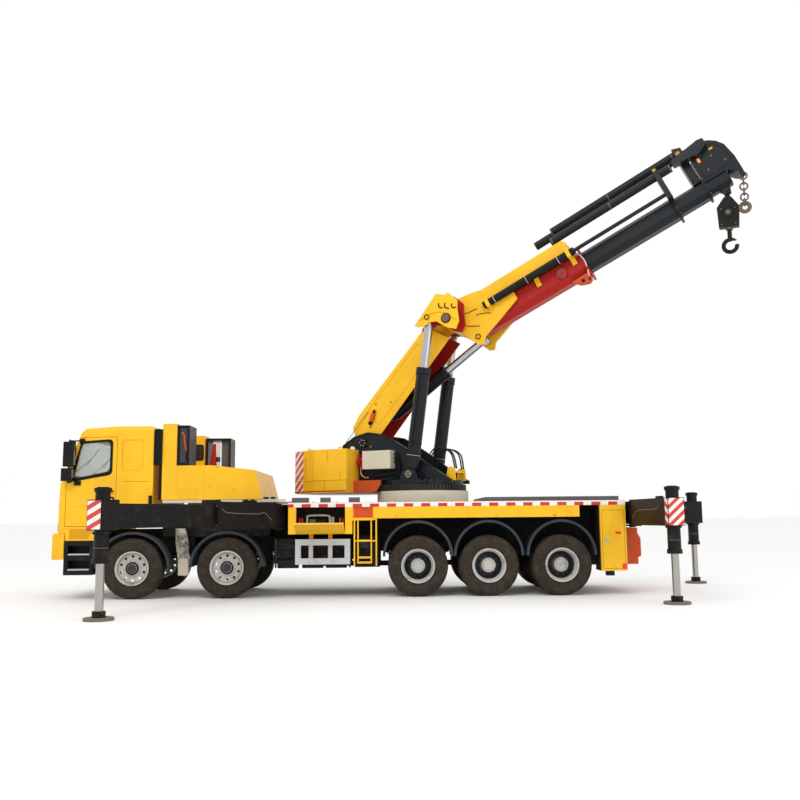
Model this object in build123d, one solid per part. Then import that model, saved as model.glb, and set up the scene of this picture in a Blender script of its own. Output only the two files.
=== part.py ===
from build123d import *
import math
import os

# Knuckle boom truck crane: a five-axle truck with a folding, telescoping crane and four outriggers.
#
# Lengths are millimetres. The truck faces +X, its left side is +Y and the wheels stand on z = 0.
# A station is a distance behind the first axle, a reach is a distance behind the slewing axis.

# Running gear
AXLE_STATIONS = [0, 1705, 5155, 6440, 7760]
STEERED_AXLES = 2
FIRST_AXLE_X = 4910
AXLE_HEIGHT = 545
TYRE_WIDTH = 300
TYRE_BEAD_RADIUS = 290
RIM_FLANGE_RADIUS = 306
RIM_HALF = 145
RIM_WALL = 14
FRONT_TYRE_Y = 1070
TWIN_INNER_Y = 760
TWIN_OUTER_Y = 1095
KINGPIN_Y = 870
KINGPIN_RADIUS = 32
FRONT_SPINDLE_RADIUS = 45
REAR_SPINDLE_RADIUS = 62
REAR_AXLE_TUBE = 76
SPRING_Y = (345, 425)
SPRING_THICK = 66
SPRING_EYE_TOP = 760
RUN_GAP = 0.5
SEAT_GAP = 0.3

# Truck frame
RAIL_FRONT, RAIL_REAR = -1000, 8900
RAIL_Y = 430
RAIL_FLANGE = 90
RAIL_TOP = 1080
RAIL_HEIGHT = 290
RAIL_PLATE = 12

# Cab
CAB_HALF = 1230
CAB_WALL = 40
CAB_FRONT, CAB_REAR = -1400, 340
CAB_BOTTOM = 1290
CAB_ROOF = 3130
SILL_BOTTOM, SILL_FRONT, SILL_REAR = 1050, -1215, -700
BUMPER_TOP = 1185
SCREEN_Z = (2200, 2940)
SCREEN_HALF = 1080
DOOR_OUTLINE = [(-1225, 1310), (-1225, 2100), (-975, 2880), (-940, 2915), (-360, 2925), (-330, 2895), (-330, 1310)]
DOOR_WINDOW = [(-1100, 2170), (-960, 2805), (-450, 2840), (-450, 2300)]
DOOR_GAP = 8
DOOR_THICK = 46
HOUSING_FRONT, HOUSING_REAR = 500, 2320
HOUSING_BOTTOM = 1770

# Deck
DECK_FRONT, DECK_REAR = 2800, 8940
DECK_HALF = 1250
DECK_TOP = 1700
DECK_PLATE = 36
BEAM_BOTTOM = 1405
BAY_FRONT, BAY_REAR = 2950, 3840
BAY_FLOOR, BAY_DEPTH = 1130, 550
POST = 130
LADDER_REAR = 4350
TOOLBOX_OPEN = 68
TAIL_FRONT, TAIL_BOTTOM = 8470, 430
TOW_EYE, TOW_EYE_RADIUS = (9430, 880), 30

# Slewing ring and superstructure
SLEW_STATION = 5300
SLEW_REST = 25
RING_RADIUS, RING_BORE = 890, 560
RING_TOP = 1915
GEAR_RADIUS, GEAR_TEETH = 850, 72
GEAR_TOP = 2035
TURN_GAP = 6
DISC_THICK = 70
CHEEK_Y = (440, 500)
CHEEK_NOSE, CHEEK_HEEL = (-1700, 2230), (-700, 2061)
WEIGHT_NOTCH, WEIGHT_REAR = -1702, -1140
WEIGHT_Z = (1900, 2740)
LIFT_Y = 650

# Booms: places as (reach, height) or, on a boom, (along, above the pivot line)
MAIN_PIVOT, MAIN_ANGLE = (-1050, 2880), 50
MAIN_LENGTH = 2960
MAIN_HALF = 310
PLATE = 24
FOLD_ANGLE = 25.5
LIFT_BASE, LIFT_EYE = (40, 2230), (MAIN_LENGTH - 207, 336)
FOLD_BASE, FOLD_EYE = (650, 40), (300, -500)
HEAD_HALF, HEAD_PLATE = 790, 40
HEAD_INNER = (400, 440)
KNEE_INNER, KNEE_PLATE = 290, 60
LIFT_BARREL_RADIUS, LIFT_ROD_RADIUS, LIFT_DRAW_IN = 130, 85, 700
FOLD_BARREL_RADIUS, FOLD_ROD_RADIUS, FOLD_DRAW_IN = 125, 75, 540
PIN_RADIUS = 45
EXTEND_Y, EXTEND_RADIUS, EXTEND_ROD = 424, 72, 36
EXTEND_ROD_FIRST = 2400
CHAIN_PIN_RADIUS = 12
HEAD_BOX_HALF, HEAD_TUBE_END = 195, 5540
HOOK_PIN, HOOK_PIN_RADIUS, HOOK_HALF = (5385, -440), 24, 72
CHAIN_PIN, CHAIN_Y = (5735, -365), 160
CASE_MIDDLE = -235
CASE_SIZE, SECTION_1_SIZE, SECTION_2_SIZE, SECTION_3_SIZE = (250, 225), (222, 197), (194, 169), (166, 141)
SECTION_WALL = 16

# Outriggers
FRONT_PIVOT, REAR_PIVOT = 2600, 9125
OUTRIGGER_Y = 1000
FRONT_OUTER, FRONT_REACH, REAR_REACH = 1810, 4040, 1950
FRONT_SPREAD = 58.7
REAR_SPREAD_LEFT, REAR_SPREAD_RIGHT = 86, 10
FRONT_BOX, REAR_BOX = (2440, 2760), (8700, 8975)
LUG_Z = (1262, 1622)
FORK_PLATE, FORK_GAP, FORK_RADIUS = 28, 12, 165
OUTRIGGER_PIN = 60
JACK_RADIUS, JACK_ROD_RADIUS = 106, 62
JACK_Z, JACK_ROD_TOP = (800, 1880), 1265

SIDE = Plane(origin=(FIRST_AXLE_X, 0, 0), x_dir=(-1, 0, 0), z_dir=(0, 1, 0))
SUPER = Plane(origin=(FIRST_AXLE_X - SLEW_STATION, 0, 0), x_dir=(-1, 0, 0), z_dir=(0, 1, 0))
SLEW_AXIS = Axis((FIRST_AXLE_X - SLEW_STATION, 0, 0), (0, 0, 1))
parts = {}
pivots = {}


def x_at(station):
    """World X of a station."""
    return FIRST_AXLE_X - station


def outline(plane, points, y_from, y_to):
    """Solid of a closed outline drawn in a fore-and-aft plane, between two distances to the left."""
    face = make_face(Polyline(*points, close=True))
    return extrude(plane.offset(y_from) * face, amount=y_to - y_from, dir=plane.z_dir)


def block(stations, ys, heights):
    """Square block between pairs of stations, distances to the left and heights."""
    size = (abs(stations[1] - stations[0]), ys[1] - ys[0], heights[1] - heights[0])
    centre = (x_at(sum(stations) / 2), sum(ys) / 2, sum(heights) / 2)
    return Pos(*centre) * Box(*size)


def rod(start, end, radius):
    """Round bar between two points."""
    axis = Vector(*end) - Vector(*start)
    return Solid.make_cylinder(radius, axis.length, Plane(origin=start, z_dir=axis))


def upright(station, y, heights, radius):
    """Round upright bar at a station."""
    return rod((x_at(station), y, heights[0]), (x_at(station), y, heights[1]), radius)


def cross_rod(plane, point, radius, y_from, y_to):
    """Round bar lying across the machine at a point of a fore-and-aft plane."""
    centre = plane.from_local_coords(Vector(point[0], point[1], 0))
    return rod((centre.X, y_from, centre.Z), (centre.X, y_to, centre.Z), radius)


def turned(points, x, z):
    """Solid turned about an axle at x, z from an outline of (left, radius) points."""
    face = make_face(Plane.YZ * Polyline(*points, close=True))
    return Pos(x, 0, z) * revolve(face, Axis.Y, 360)


def both_sides(*shapes):
    """The shapes and their mirror images on the other side of the truck."""
    return [*shapes, *(mirror(shape, Plane.XZ) for shape in shapes)]


def join(*shapes):
    """One fused piece from shapes and lists of shapes."""
    flat = []
    for shape in shapes:
        flat.extend(shape if isinstance(shape, list) else [shape])
    return Part() + flat


def boom_plane(pivot, angle):
    """Plane along a boom: local X from its pivot to its tip, local Y up from its back."""
    centre = SUPER.from_local_coords(Vector(pivot[0], pivot[1], 0))
    lean = math.radians(angle)
    return Plane(origin=centre, x_dir=(-math.cos(lean), 0, math.sin(lean)), z_dir=(0, 1, 0))


def reach_of(plane, point):
    """(reach, height) of a point of a boom's plane."""
    local = SUPER.to_local_coords(plane.from_local_coords(Vector(point[0], point[1], 0)))
    return (local.X, local.Y)


def slewed(shape):
    """A superstructure piece turned from straight back to its rest bearing on the left."""
    return shape.rotate(SLEW_AXIS, -SLEW_REST)


def slewed_point(point, y=0):
    """World position at rest of a (reach, height) point of the superstructure."""
    turn = math.radians(SLEW_REST)
    reach = point[0]
    return (x_at(SLEW_STATION) - reach * math.cos(turn) + y * math.sin(turn),
            reach * math.sin(turn) + y * math.cos(turn), point[1])


def slewed_direction(x, y, z):
    """World direction at rest of a superstructure direction."""
    turn = math.radians(-SLEW_REST)
    return (x * math.cos(turn) - y * math.sin(turn), x * math.sin(turn) + y * math.cos(turn), z)


MAIN = boom_plane(MAIN_PIVOT, MAIN_ANGLE)
FOLD_PIVOT = reach_of(MAIN, (MAIN_LENGTH, 0))
FOLD = boom_plane(FOLD_PIVOT, FOLD_ANGLE)


def frame_rails():
    """Two channel rails, round cross members, spring hangers and the crane base with its outrigger forks."""
    rail = block((RAIL_FRONT, RAIL_REAR), (RAIL_Y - RAIL_FLANGE, RAIL_Y), (RAIL_TOP - RAIL_HEIGHT, RAIL_TOP))
    rail -= block((RAIL_FRONT - 1, RAIL_REAR + 1), (RAIL_Y - RAIL_FLANGE - 1, RAIL_Y - RAIL_PLATE),
                  (RAIL_TOP - RAIL_HEIGHT + RAIL_PLATE, RAIL_TOP - RAIL_PLATE))
    pieces = both_sides(rail)
    middle = RAIL_TOP - RAIL_HEIGHT / 2
    for station in (-900, 850, 2400, 3600, 4500, 5800, 7100, 8800):
        pieces.append(rod((x_at(station), -RAIL_Y + 1, middle), (x_at(station), RAIL_Y - 1, middle), 70))
    for number, station in enumerate(AXLE_STATIONS):
        half = 640 if number < STEERED_AXLES else 560
        for end in (-half, half):
            pieces += both_sides(block((station + end - 45, station + end + 45), SPRING_Y,
                                       (SPRING_EYE_TOP + SEAT_GAP, RAIL_TOP - RAIL_HEIGHT + 1)))
    deck_under = DECK_TOP - DECK_PLATE
    pieces += both_sides(block((FRONT_BOX[0], RAIL_REAR), (RAIL_Y - 70, RAIL_Y), (RAIL_TOP, deck_under)))
    for station in (4500, 6040):
        pieces.append(block((station, station + 80), (-RAIL_Y, RAIL_Y), (RAIL_TOP, deck_under)))
    low_ear = (LUG_Z[0] - FORK_GAP - FORK_PLATE, LUG_Z[0] - FORK_GAP)
    high_ear = (LUG_Z[1] + FORK_GAP, LUG_Z[1] + FORK_GAP + FORK_PLATE)
    # Cross boxes as pivot station, stations of the box, first stations of the low and high ear, ear's inner edge
    for pivot, box, low_first, high_first, inner in (
            (FRONT_PIVOT, FRONT_BOX, FRONT_BOX[0], FRONT_BOX[0], 0),
            (REAR_PIVOT, REAR_BOX, REAR_BOX[0], DECK_REAR + 5, 700)):
        pieces.append(block(box, (-800, 800), (low_ear[0], deck_under if inner else high_ear[0])))
        for first, heights in ((low_first, low_ear), (high_first, high_ear)):
            pieces += both_sides(block((first, max(pivot, box[1])), (inner, OUTRIGGER_Y), heights),
                                 upright(pivot, OUTRIGGER_Y, heights, FORK_RADIUS))
        pin = (low_ear[0] - 20, high_ear[1] + 20)
        pieces += both_sides(upright(pivot, OUTRIGGER_Y, pin, OUTRIGGER_PIN - RUN_GAP))
    pieces.append(block((DECK_REAR + 5, REAR_BOX[1]), (-800, 800), (low_ear[0], high_ear[1])))
    return join(pieces)


def spring_outline(half, eye_top):
    """Leaf pack seen from the side: a band that droops as a parabola between its two eyes."""
    rise = 90
    steps = [-1, -0.6, -0.25, 0, 0.25, 0.6, 1]
    top = [(step * half, eye_top - rise * (1 - step * step)) for step in steps]
    return top + [(x, z - SPRING_THICK * (1 - 0.7 * (x / half) ** 2)) for x, z in reversed(top)]


def springs(station, half, seat_bottom):
    """Leaf packs on both sides with their axle seats."""
    pack = outline(Plane(SIDE.from_local_coords(Vector(station, 0, 0)), x_dir=(-1, 0, 0), z_dir=(0, 1, 0)),
                   spring_outline(half, SPRING_EYE_TOP), *SPRING_Y)
    seat = block((station - 70, station + 70), SPRING_Y, (seat_bottom, SPRING_EYE_TOP - 90 - SPRING_THICK + 1))
    return both_sides(pack, seat)


def front_axles():
    """Dropped steering axle beams with their kingpin bosses and springs."""
    pieces = []
    half = [(0, 425), (520, 425), (640, 500), (800, 500), (800, 590), (620, 590), (500, 540), (0, 540)]
    for station in AXLE_STATIONS[:STEERED_AXLES]:
        beam = extrude(Plane.YZ.offset(x_at(station) - 45) * make_face(Polyline(*half, close=True)), amount=90)
        eye = upright(station, KINGPIN_Y, (480, 610), 62)
        arm = block((station - 40, station + 40), (780, KINGPIN_Y), (500, 590))
        bore = upright(station, KINGPIN_Y, (400, 700), KINGPIN_RADIUS + RUN_GAP)
        end = (eye + arm) - bore
        pieces.append(join(both_sides(beam, end), springs(station, 640, 535)))
    return pieces


def rear_axles():
    """Drive axle housings with round centre housings, spindles, springs and the shaft between them."""
    pieces = []
    for station in AXLE_STATIONS[STEERED_AXLES:]:
        x = x_at(station)
        housing = rod((x, -640, AXLE_HEIGHT), (x, 640, AXLE_HEIGHT), REAR_AXLE_TUBE)
        spindle = rod((x, -880, AXLE_HEIGHT), (x, 880, AXLE_HEIGHT), REAR_SPINDLE_RADIUS)
        bowl = Pos(x, 0, AXLE_HEIGHT) * Sphere(225)
        nose = rod((x - 300, 0, AXLE_HEIGHT), (x + 300, 0, AXLE_HEIGHT), 95)
        pieces.append(join(housing, spindle, bowl, nose, springs(station, 560, AXLE_HEIGHT)))
    shaft = rod((x_at(3300), 0, AXLE_HEIGHT), (x_at(AXLE_STATIONS[-1]), 0, AXLE_HEIGHT), 50)
    return [join(pieces, shaft)]


def tyre(centre, x):
    """Road tyre section turned about its axle: beads, bulged walls and a flat tread."""
    bulge = TYRE_WIDTH / 2
    half = [(bulge - 30, TYRE_BEAD_RADIUS), (bulge - 26, RIM_FLANGE_RADIUS + 20), (bulge, 400), (bulge - 4, 460),
            (bulge - 22, AXLE_HEIGHT - 14), (bulge - 36, AXLE_HEIGHT)]
    points = [(centre + y, r) for y, r in half] + [(centre - y, r) for y, r in reversed(half)]
    return turned(points, x, AXLE_HEIGHT)


def rim_barrel(centre, x):
    """Rim barrel with a flange at each edge."""
    seat = TYRE_BEAD_RADIUS - SEAT_GAP
    lip = TYRE_WIDTH / 2 - 30 + 4
    points = [(-RIM_HALF, seat - RIM_WALL), (-RIM_HALF, RIM_FLANGE_RADIUS), (-lip, RIM_FLANGE_RADIUS), (-lip, seat),
              (lip, seat), (lip, RIM_FLANGE_RADIUS), (RIM_HALF, RIM_FLANGE_RADIUS), (RIM_HALF, seat - RIM_WALL)]
    return turned([(centre + y, r) for y, r in points], x, AXLE_HEIGHT)


def front_wheel(station):
    """Left steered wheel: tyre, and rim with its disc, drum and hub."""
    x = x_at(station)
    bore = FRONT_SPINDLE_RADIUS + RUN_GAP
    disc = [(1115, 110), (1120, RIM_FLANGE_RADIUS - 25), (1136, RIM_FLANGE_RADIUS - 25), (1150, 150), (1165, 110)]
    hub = [(985, bore), (985, 120), (1150, 120), (1170, 95), (1205, 90), (1205, 0), (1112, 0), (1112, bore)]
    drum = [(985, 178), (985, 205), (1118, 205), (1118, 178)]
    centre = join(turned(disc, x, AXLE_HEIGHT), turned(hub, x, AXLE_HEIGHT), turned(drum, x, AXLE_HEIGHT))
    return [tyre(FRONT_TYRE_Y, x), join(rim_barrel(FRONT_TYRE_Y, x), hand_holes(centre, x, 1100, 1180, 236))]


def hand_holes(disc, x, y_from, y_to, radius):
    """A wheel disc with its ring of ten round hand holes cut out."""
    for number in range(10):
        angle = math.radians(36 * number)
        dx, dz = radius * math.sin(angle), radius * math.cos(angle)
        disc -= rod((x + dx, y_from, AXLE_HEIGHT + dz), (x + dx, y_to, AXLE_HEIGHT + dz), 26)
    return disc


def rear_wheel(station):
    """Left twin wheel: two tyres on two rims that meet at one hub and drum."""
    x = x_at(station)
    meet = (TWIN_INNER_Y + TWIN_OUTER_Y) / 2
    bore = REAR_SPINDLE_RADIUS + RUN_GAP
    disc = [(meet - 14, 120), (meet - 14, 230), (meet - 60, 278), (meet - 44, 280), (meet, 246), (meet + 44, 280),
            (meet + 60, 278), (meet + 14, 230), (meet + 14, 120)]
    hub = [(650, bore), (650, 130), (1090, 130), (1120, 110), (1150, 105), (1150, 0), (890, 0), (890, bore)]
    drum = [(650, 186), (650, 215), (meet - 8, 215), (meet - 8, 186)]
    rims = join(rim_barrel(TWIN_INNER_Y, x), rim_barrel(TWIN_OUTER_Y, x), turned(disc, x, AXLE_HEIGHT),
                turned(hub, x, AXLE_HEIGHT), turned(drum, x, AXLE_HEIGHT))
    return [tyre(TWIN_INNER_Y, x), tyre(TWIN_OUTER_Y, x), rims]


def steer_knuckle(station):
    """Left steering knuckle: a fork on the kingpin and the spindle that carries the wheel."""
    x = x_at(station)
    fork = [block((station - 55, station + 55), (KINGPIN_Y - 20, 945), heights) for heights in ((420, 474), (616, 670))]
    fork += [upright(station, KINGPIN_Y, heights, 58) for heights in ((420, 474), (616, 670))]
    flange = block((station - 90, station + 90), (938, 972), (420, 670))
    pin = upright(station, KINGPIN_Y, (410, 680), KINGPIN_RADIUS)
    spindle = rod((x, 960, AXLE_HEIGHT), (x, 1104, AXLE_HEIGHT), FRONT_SPINDLE_RADIUS)
    return [join(fork, flange, pin, spindle)]


def cab_form(inset):
    """Cab volume, set in from its skin by a wall: side, plan and front outlines crossed."""
    side = [(CAB_FRONT, BUMPER_TOP + 5), (CAB_FRONT, 1400), (-1355, 2080), (-1300, 2150), (-985, 3000), (-900, 3080),
            (-300, CAB_ROOF), (CAB_REAR - 70, CAB_ROOF), (CAB_REAR, CAB_ROOF - 70), (CAB_REAR, CAB_BOTTOM),
            (SILL_FRONT, CAB_BOTTOM), (SILL_FRONT, BUMPER_TOP + 5)]
    face = make_face(Polyline(*side, close=True))
    if inset:
        face = offset(face, amount=-inset, kind=Kind.INTERSECTION)
    half = CAB_HALF - inset
    form = extrude(SIDE.offset(-half) * face, amount=2 * half, dir=SIDE.z_dir)
    length = CAB_REAR - CAB_FRONT - 2 * inset
    middle = x_at((CAB_REAR + CAB_FRONT) / 2)
    plan = Rectangle(length, 2 * half)
    plan = fillet(plan.vertices().group_by(Axis.X)[-1], 170 - inset)
    form &= extrude(Pos(middle, 0, 500) * plan, amount=3000)
    front = Pos(0, 1500) * Rectangle(2 * half, 2 * (CAB_ROOF - inset - 1500))
    front = fillet(front.vertices().group_by(Axis.Y)[-1], 110 - inset)
    return form & extrude(Plane.YZ.offset(x_at(CAB_REAR + 100)) * front, amount=length + 400)


def grown(points, amount):
    """Face of an outline grown outwards by a gap."""
    return offset(make_face(Polyline(*points, close=True)), amount=amount, kind=Kind.INTERSECTION)


def cab_shell():
    """Hollow cab with its windscreen and door openings cut and a pressed panel behind each door."""
    shell = cab_form(0) - cab_form(CAB_WALL)
    shell -= block((CAB_FRONT - 20, -900), (-SCREEN_HALF, SCREEN_HALF), SCREEN_Z)
    opening = extrude(SIDE.offset(CAB_HALF - CAB_WALL - 60) * grown(DOOR_OUTLINE, DOOR_GAP), amount=140, dir=SIDE.z_dir)
    panel = RectangleRounded(380, 560, 60)
    panel = extrude(SIDE.offset(CAB_HALF - 10) * Pos(-40, 2590) * panel, amount=20, dir=SIDE.z_dir)
    for cut in both_sides(opening, panel):
        shell -= cut
    sill = [(SILL_FRONT, SILL_BOTTOM), (SILL_FRONT, CAB_BOTTOM + 1), (SILL_REAR + 60, CAB_BOTTOM + 1),
            (SILL_REAR, SILL_BOTTOM)]
    return [join(shell, both_sides(outline(SIDE, sill, 880, CAB_HALF)))]


def cab_door():
    """Left door with its window opening, glass and two-part mirror on a tube frame."""
    skin = outline(SIDE, DOOR_OUTLINE, CAB_HALF - DOOR_THICK, CAB_HALF)
    skin -= outline(SIDE, DOOR_WINDOW, CAB_HALF - DOOR_THICK - 1, CAB_HALF + 1)
    pane = extrude(SIDE.offset(CAB_HALF - 26) * grown(DOOR_WINDOW, -SEAT_GAP), amount=8, dir=SIDE.z_dir)
    stem_x, stem_y = x_at(-1145), CAB_HALF + 140
    stem = rod((stem_x, stem_y, 2080), (stem_x, stem_y, 2870), 16)
    arm_x, arm_root = x_at(-950), CAB_HALF - 15
    arms = [rod((arm_x, arm_root, 2845), (arm_x, stem_y + 10, 2845), 14),
            rod((arm_x - 10, stem_y, 2845), (stem_x + 5, stem_y, 2845), 13),
            rod((stem_x, arm_root, 2104), (stem_x, stem_y + 5, 2104), 13)]
    glasses = [block((-1240, -1050), (CAB_HALF + 75, CAB_HALF + 195), (2380, 2830)),
               block((-1265, -1075), (CAB_HALF + 75, CAB_HALF + 195), (2120, 2350))]
    return [join(skin, stem, arms, glasses), pane]


def cab_glass():
    """Windscreen pane let into its opening."""
    slope = (-985 + 1300) / (3000 - 2150)
    low, high = (z + SEAT_GAP * side for z, side in zip(SCREEN_Z, (1, -1)))
    edge = [(-1300 + slope * (z - 2150), z) for z in (low, high)]
    pane = [(edge[0][0] + 14, low), (edge[1][0] + 14, high), (edge[1][0] + 24, high), (edge[0][0] + 24, low)]
    return [outline(SIDE, pane, -SCREEN_HALF + SEAT_GAP, SCREEN_HALF - SEAT_GAP)]


def cab_interior():
    """Dashboard, two seats, bunk and steering wheel."""
    floor = CAB_BOTTOM + CAB_WALL
    dash = outline(SIDE, [(-1250, 1900), (-1250, 2120), (-1100, 2130), (-950, 2060), (-930, 1900)], -1150, 1150)
    foot = block((-1250, -1150), (-900, 900), (floor, 1900))
    pieces = [dash, foot]
    for y in (-560, 560):
        seat = outline(SIDE, [(-560, 1640), (-600, 1760), (-130, 1740), (-40, 2480), (60, 2480), (20, 1640)],
                       y - 240, y + 240)
        pieces.append(join(seat, block((-450, -100), (y - 180, y + 180), (floor, 1641))))
    pieces.append(block((CAB_REAR - 300, CAB_REAR - CAB_WALL - 1), (-1100, 1100), (floor, 1700)))
    wheel = Plane(origin=(x_at(-760), 560, 2170), z_dir=(-0.5, 0, 0.86)) * Torus(225, 18)
    column = rod((x_at(-760), 560, 2170), (x_at(-960), 560, 2000), 30)
    spoke = rod((x_at(-760), 340, 2170), (x_at(-760), 780, 2170), 14)
    pieces.append(join(wheel, column, spoke) - dash)
    return pieces


def bumper():
    """Front bumper bar, folded to a channel, on two brackets."""
    channel = [(-1440, 730), (-1440, 1150), (-1415, BUMPER_TOP), (-1225, BUMPER_TOP), (-1225, 1150), (-1380, 1150),
               (-1380, 770), (-1225, 770), (-1225, 715), (-1425, 715)]
    bar = outline(SIDE, channel, -CAB_HALF, CAB_HALF)
    brackets = both_sides(block((-1385, RAIL_FRONT - SEAT_GAP), (RAIL_Y - RAIL_FLANGE, RAIL_Y), (850, 1000)))
    return [join(bar, brackets)]


def cab_trim():
    """Black pieces: door steps, air intake duct and the framed vents behind the cab."""
    front, rear, top = SILL_FRONT - 5, SILL_REAR - 5, SILL_BOTTOM - SEAT_GAP
    steps = outline(SIDE, [(front, 440), (front, top), (rear, top), (rear, 440)], 880, CAB_HALF + 10)
    for low, high in ((520, 700), (790, 960)):
        steps -= block((-1150, SILL_REAR - 60), (1000, CAB_HALF + 20), (low, high))
    duct = block((CAB_REAR + 10, HOUSING_FRONT - SEAT_GAP), (1000, CAB_HALF + 5), (2410, 3060))
    duct += upright(460, 1190, (HOUSING_BOTTOM, 2411), 28)
    pieces = [*both_sides(steps), duct]
    # Framed vents as stations, left and right edges, top height
    for stations, ys, top in (((760, 985), (640, 1215), 3130), ((890, 1390), (-1215, -700), 3060)):
        low = 2392 + SEAT_GAP
        frame = block((stations[0] + SEAT_GAP, stations[1]), ys, (low, top))
        frame -= block((stations[0] + 40, stations[1] - 40), (ys[0] - 1, ys[1] + 1), (low + 45, top - 45))
        pieces.append(frame)
    return pieces


def power_housing():
    """Machinery housing behind the cab with a tall cabinet on each side and its legs."""
    low_body = [(HOUSING_FRONT, HOUSING_BOTTOM), (HOUSING_FRONT, 2392), (1400, 2392), (2190, 2300),
                (HOUSING_REAR, 1820), (HOUSING_REAR, HOUSING_BOTTOM)]
    body = outline(SIDE, low_body, -1200, 1225)
    tall = [block((HOUSING_FRONT, 760), (640, 1225), (2390, 3160)),
            block((HOUSING_FRONT, 870), (-1200, -640), (2390, 3110))]
    legs = []
    for station in (620, 1900):
        legs += both_sides(block((station, station + 90), (RAIL_Y - 80, RAIL_Y - 5), (RAIL_TOP, HOUSING_BOTTOM + 1)))
    return [join(body, tall, legs)]


def engine():
    """Engine and gearbox block between the rails under the cab."""
    block_half = RAIL_Y - RAIL_FLANGE - 20
    lump = outline(SIDE, [(-780, 760), (-780, 1240), (250, 1240), (330, 1050), (700, 1000), (700, 780), (300, 700)],
                   -block_half, block_half)
    mounts = both_sides(block((-500, -400), (block_half - 1, RAIL_Y - RAIL_PLATE - SEAT_GAP), (850, 950)))
    return [join(lump, mounts)]


def deck():
    """Flat deck with side beams and cross ribs, and the bays, guard posts, ladders and tail cabinets under it."""
    under = DECK_TOP - DECK_PLATE
    plate = block((DECK_FRONT, DECK_REAR), (-DECK_HALF, DECK_HALF), (under, DECK_TOP))
    beam = block((LADDER_REAR, 8100), (DECK_HALF - 40, DECK_HALF), (BEAM_BOTTOM, under + 1))
    ribs = [block((station, station + 50), (RAIL_Y + SEAT_GAP, DECK_HALF - 30), (under - 120, under + 1))
            for station in (4600, 5700, 6900, 7900)]
    inner, post_rear = DECK_HALF - BAY_DEPTH, BAY_REAR + POST
    bay = join(block((DECK_FRONT + 10, BAY_FRONT), (inner, DECK_HALF), (BAY_FLOOR, under)),
               block((BAY_REAR, post_rear), (inner, DECK_HALF), (BAY_FLOOR, under)),
               block((BAY_FRONT - 1, BAY_REAR + 1), (inner, inner + 40), (BAY_FLOOR, under)),
               block((BAY_FRONT - 1, BAY_REAR + 1), (inner + 1, DECK_HALF - 60), (BAY_FLOOR, BAY_FLOOR + 30)))
    # Posts that carry the side guard
    posts = [block((station, station + 75), (DECK_HALF - 160, DECK_HALF - 90), (660, BAY_FLOOR))
             for station in (3180, 3530)]
    # Ladder: handrails outside, stiles and rungs inside, hung from a header under the deck edge
    edge = DECK_HALF - 60
    rungs = [block((post_rear, LADDER_REAR), (edge, DECK_HALF), (1370, 1415)),
             block((post_rear, LADDER_REAR), (edge, DECK_HALF - 30), (1400, under))]
    rungs += [block((station, station + 26), (DECK_HALF - 26, DECK_HALF), (560, 1400)) for station in (3995, 4390)]
    rungs += [block((station, station + 24), (edge, DECK_HALF - 20), (600, 1400)) for station in (4060, 4300)]
    rungs += [block((4061, 4323), (edge, DECK_HALF - 20), (z, z + 34)) for z in (600, 690, 990)]
    rungs += [block((3995, 4416), (DECK_HALF - 24, DECK_HALF - 2), (z, z + 24)) for z in (990, 1376)]
    # Tail cabinet with the upright web in front of it
    cabinet = join(block((TAIL_FRONT, DECK_REAR), (790, DECK_HALF), (TAIL_BOTTOM, 1200)),
                   block((TAIL_FRONT, 8690), (790, DECK_HALF), (1199, under)))
    return [join(plate, both_sides(beam, *ribs)), *both_sides(bay, join(rungs), cabinet, *posts)]


def deck_plates():
    """Raised tread plates and boxes on the deck behind the slewing ring, and small boxes in front."""
    z = DECK_TOP
    plates = [block((6400, 8850), (-1150, 1150), (z, z + 75))]
    plates += [block((low, high), (950, 1150), (z, z + 90)) for low, high in ((2860, 3160), (3380, 3560), (3900, 4100))]
    return plates


def side_guards():
    """Light side guard frames under the toolbox bays."""
    guard = block((2940, 3930), (DECK_HALF - 45, DECK_HALF), (590, 1040))
    guard -= block((3040, 3830), (DECK_HALF - 50, DECK_HALF + 5), (700, 930))
    ties = [block((station, station + 75), (DECK_HALF - 90 + SEAT_GAP, DECK_HALF - 44), (700, 930))
            for station in (3180, 3530)]
    return both_sides(guard + ties)


def arch(station, half, top, foot, ys):
    """Mudguard: a folded band over a wheel."""
    thick = 14
    outer = [(-half, foot), (-half * 0.95, 0.55 * top + 0.45 * foot), (-half * 0.66, top - 70), (-half * 0.3, top)]
    outer += [(-x, z) for x, z in reversed(outer)]
    inner = [(x * (1 - thick / half), z - (thick if z > foot else 0)) for x, z in outer]
    points = [(station + x, z) for x, z in outer + inner[::-1]]
    return outline(SIDE, points, *ys)


def fenders():
    """Mudguards over the second and the rear axles, and the flap and panel between the front wheels."""
    pieces = [arch(AXLE_STATIONS[1], 672, 1200, 560, (DECK_HALF - 345, DECK_HALF - 5))]
    for station in AXLE_STATIONS[2:]:
        pieces.append(arch(station, 636, 1360, 720, (DECK_HALF - 650, DECK_HALF - 3)))
    pieces.append(outline(SIDE, [(662, 520), (662, 1255), (676, 1255), (676, 520)], DECK_HALF - 350,
                          DECK_HALF - 25))
    pieces.append(outline(SIDE, [(720, 380), (720, 1250), (960, 1250), (960, 420)], 900, 930))
    return both_sides(*pieces)


def tail_frame():
    """Red tail crossbeam with its tow bracket."""
    beam = block((RAIL_REAR + SEAT_GAP, 9280), (-740, 740), (520, 1190))
    tow = outline(SIDE, [(9279, 560), (9279, 1150), (9420, 1120), (9500, 980), (9500, 640)], -160, 160)
    tow -= cross_rod(SIDE, TOW_EYE, TOW_EYE_RADIUS, -161, 161)
    return [join(beam, tow)]


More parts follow.
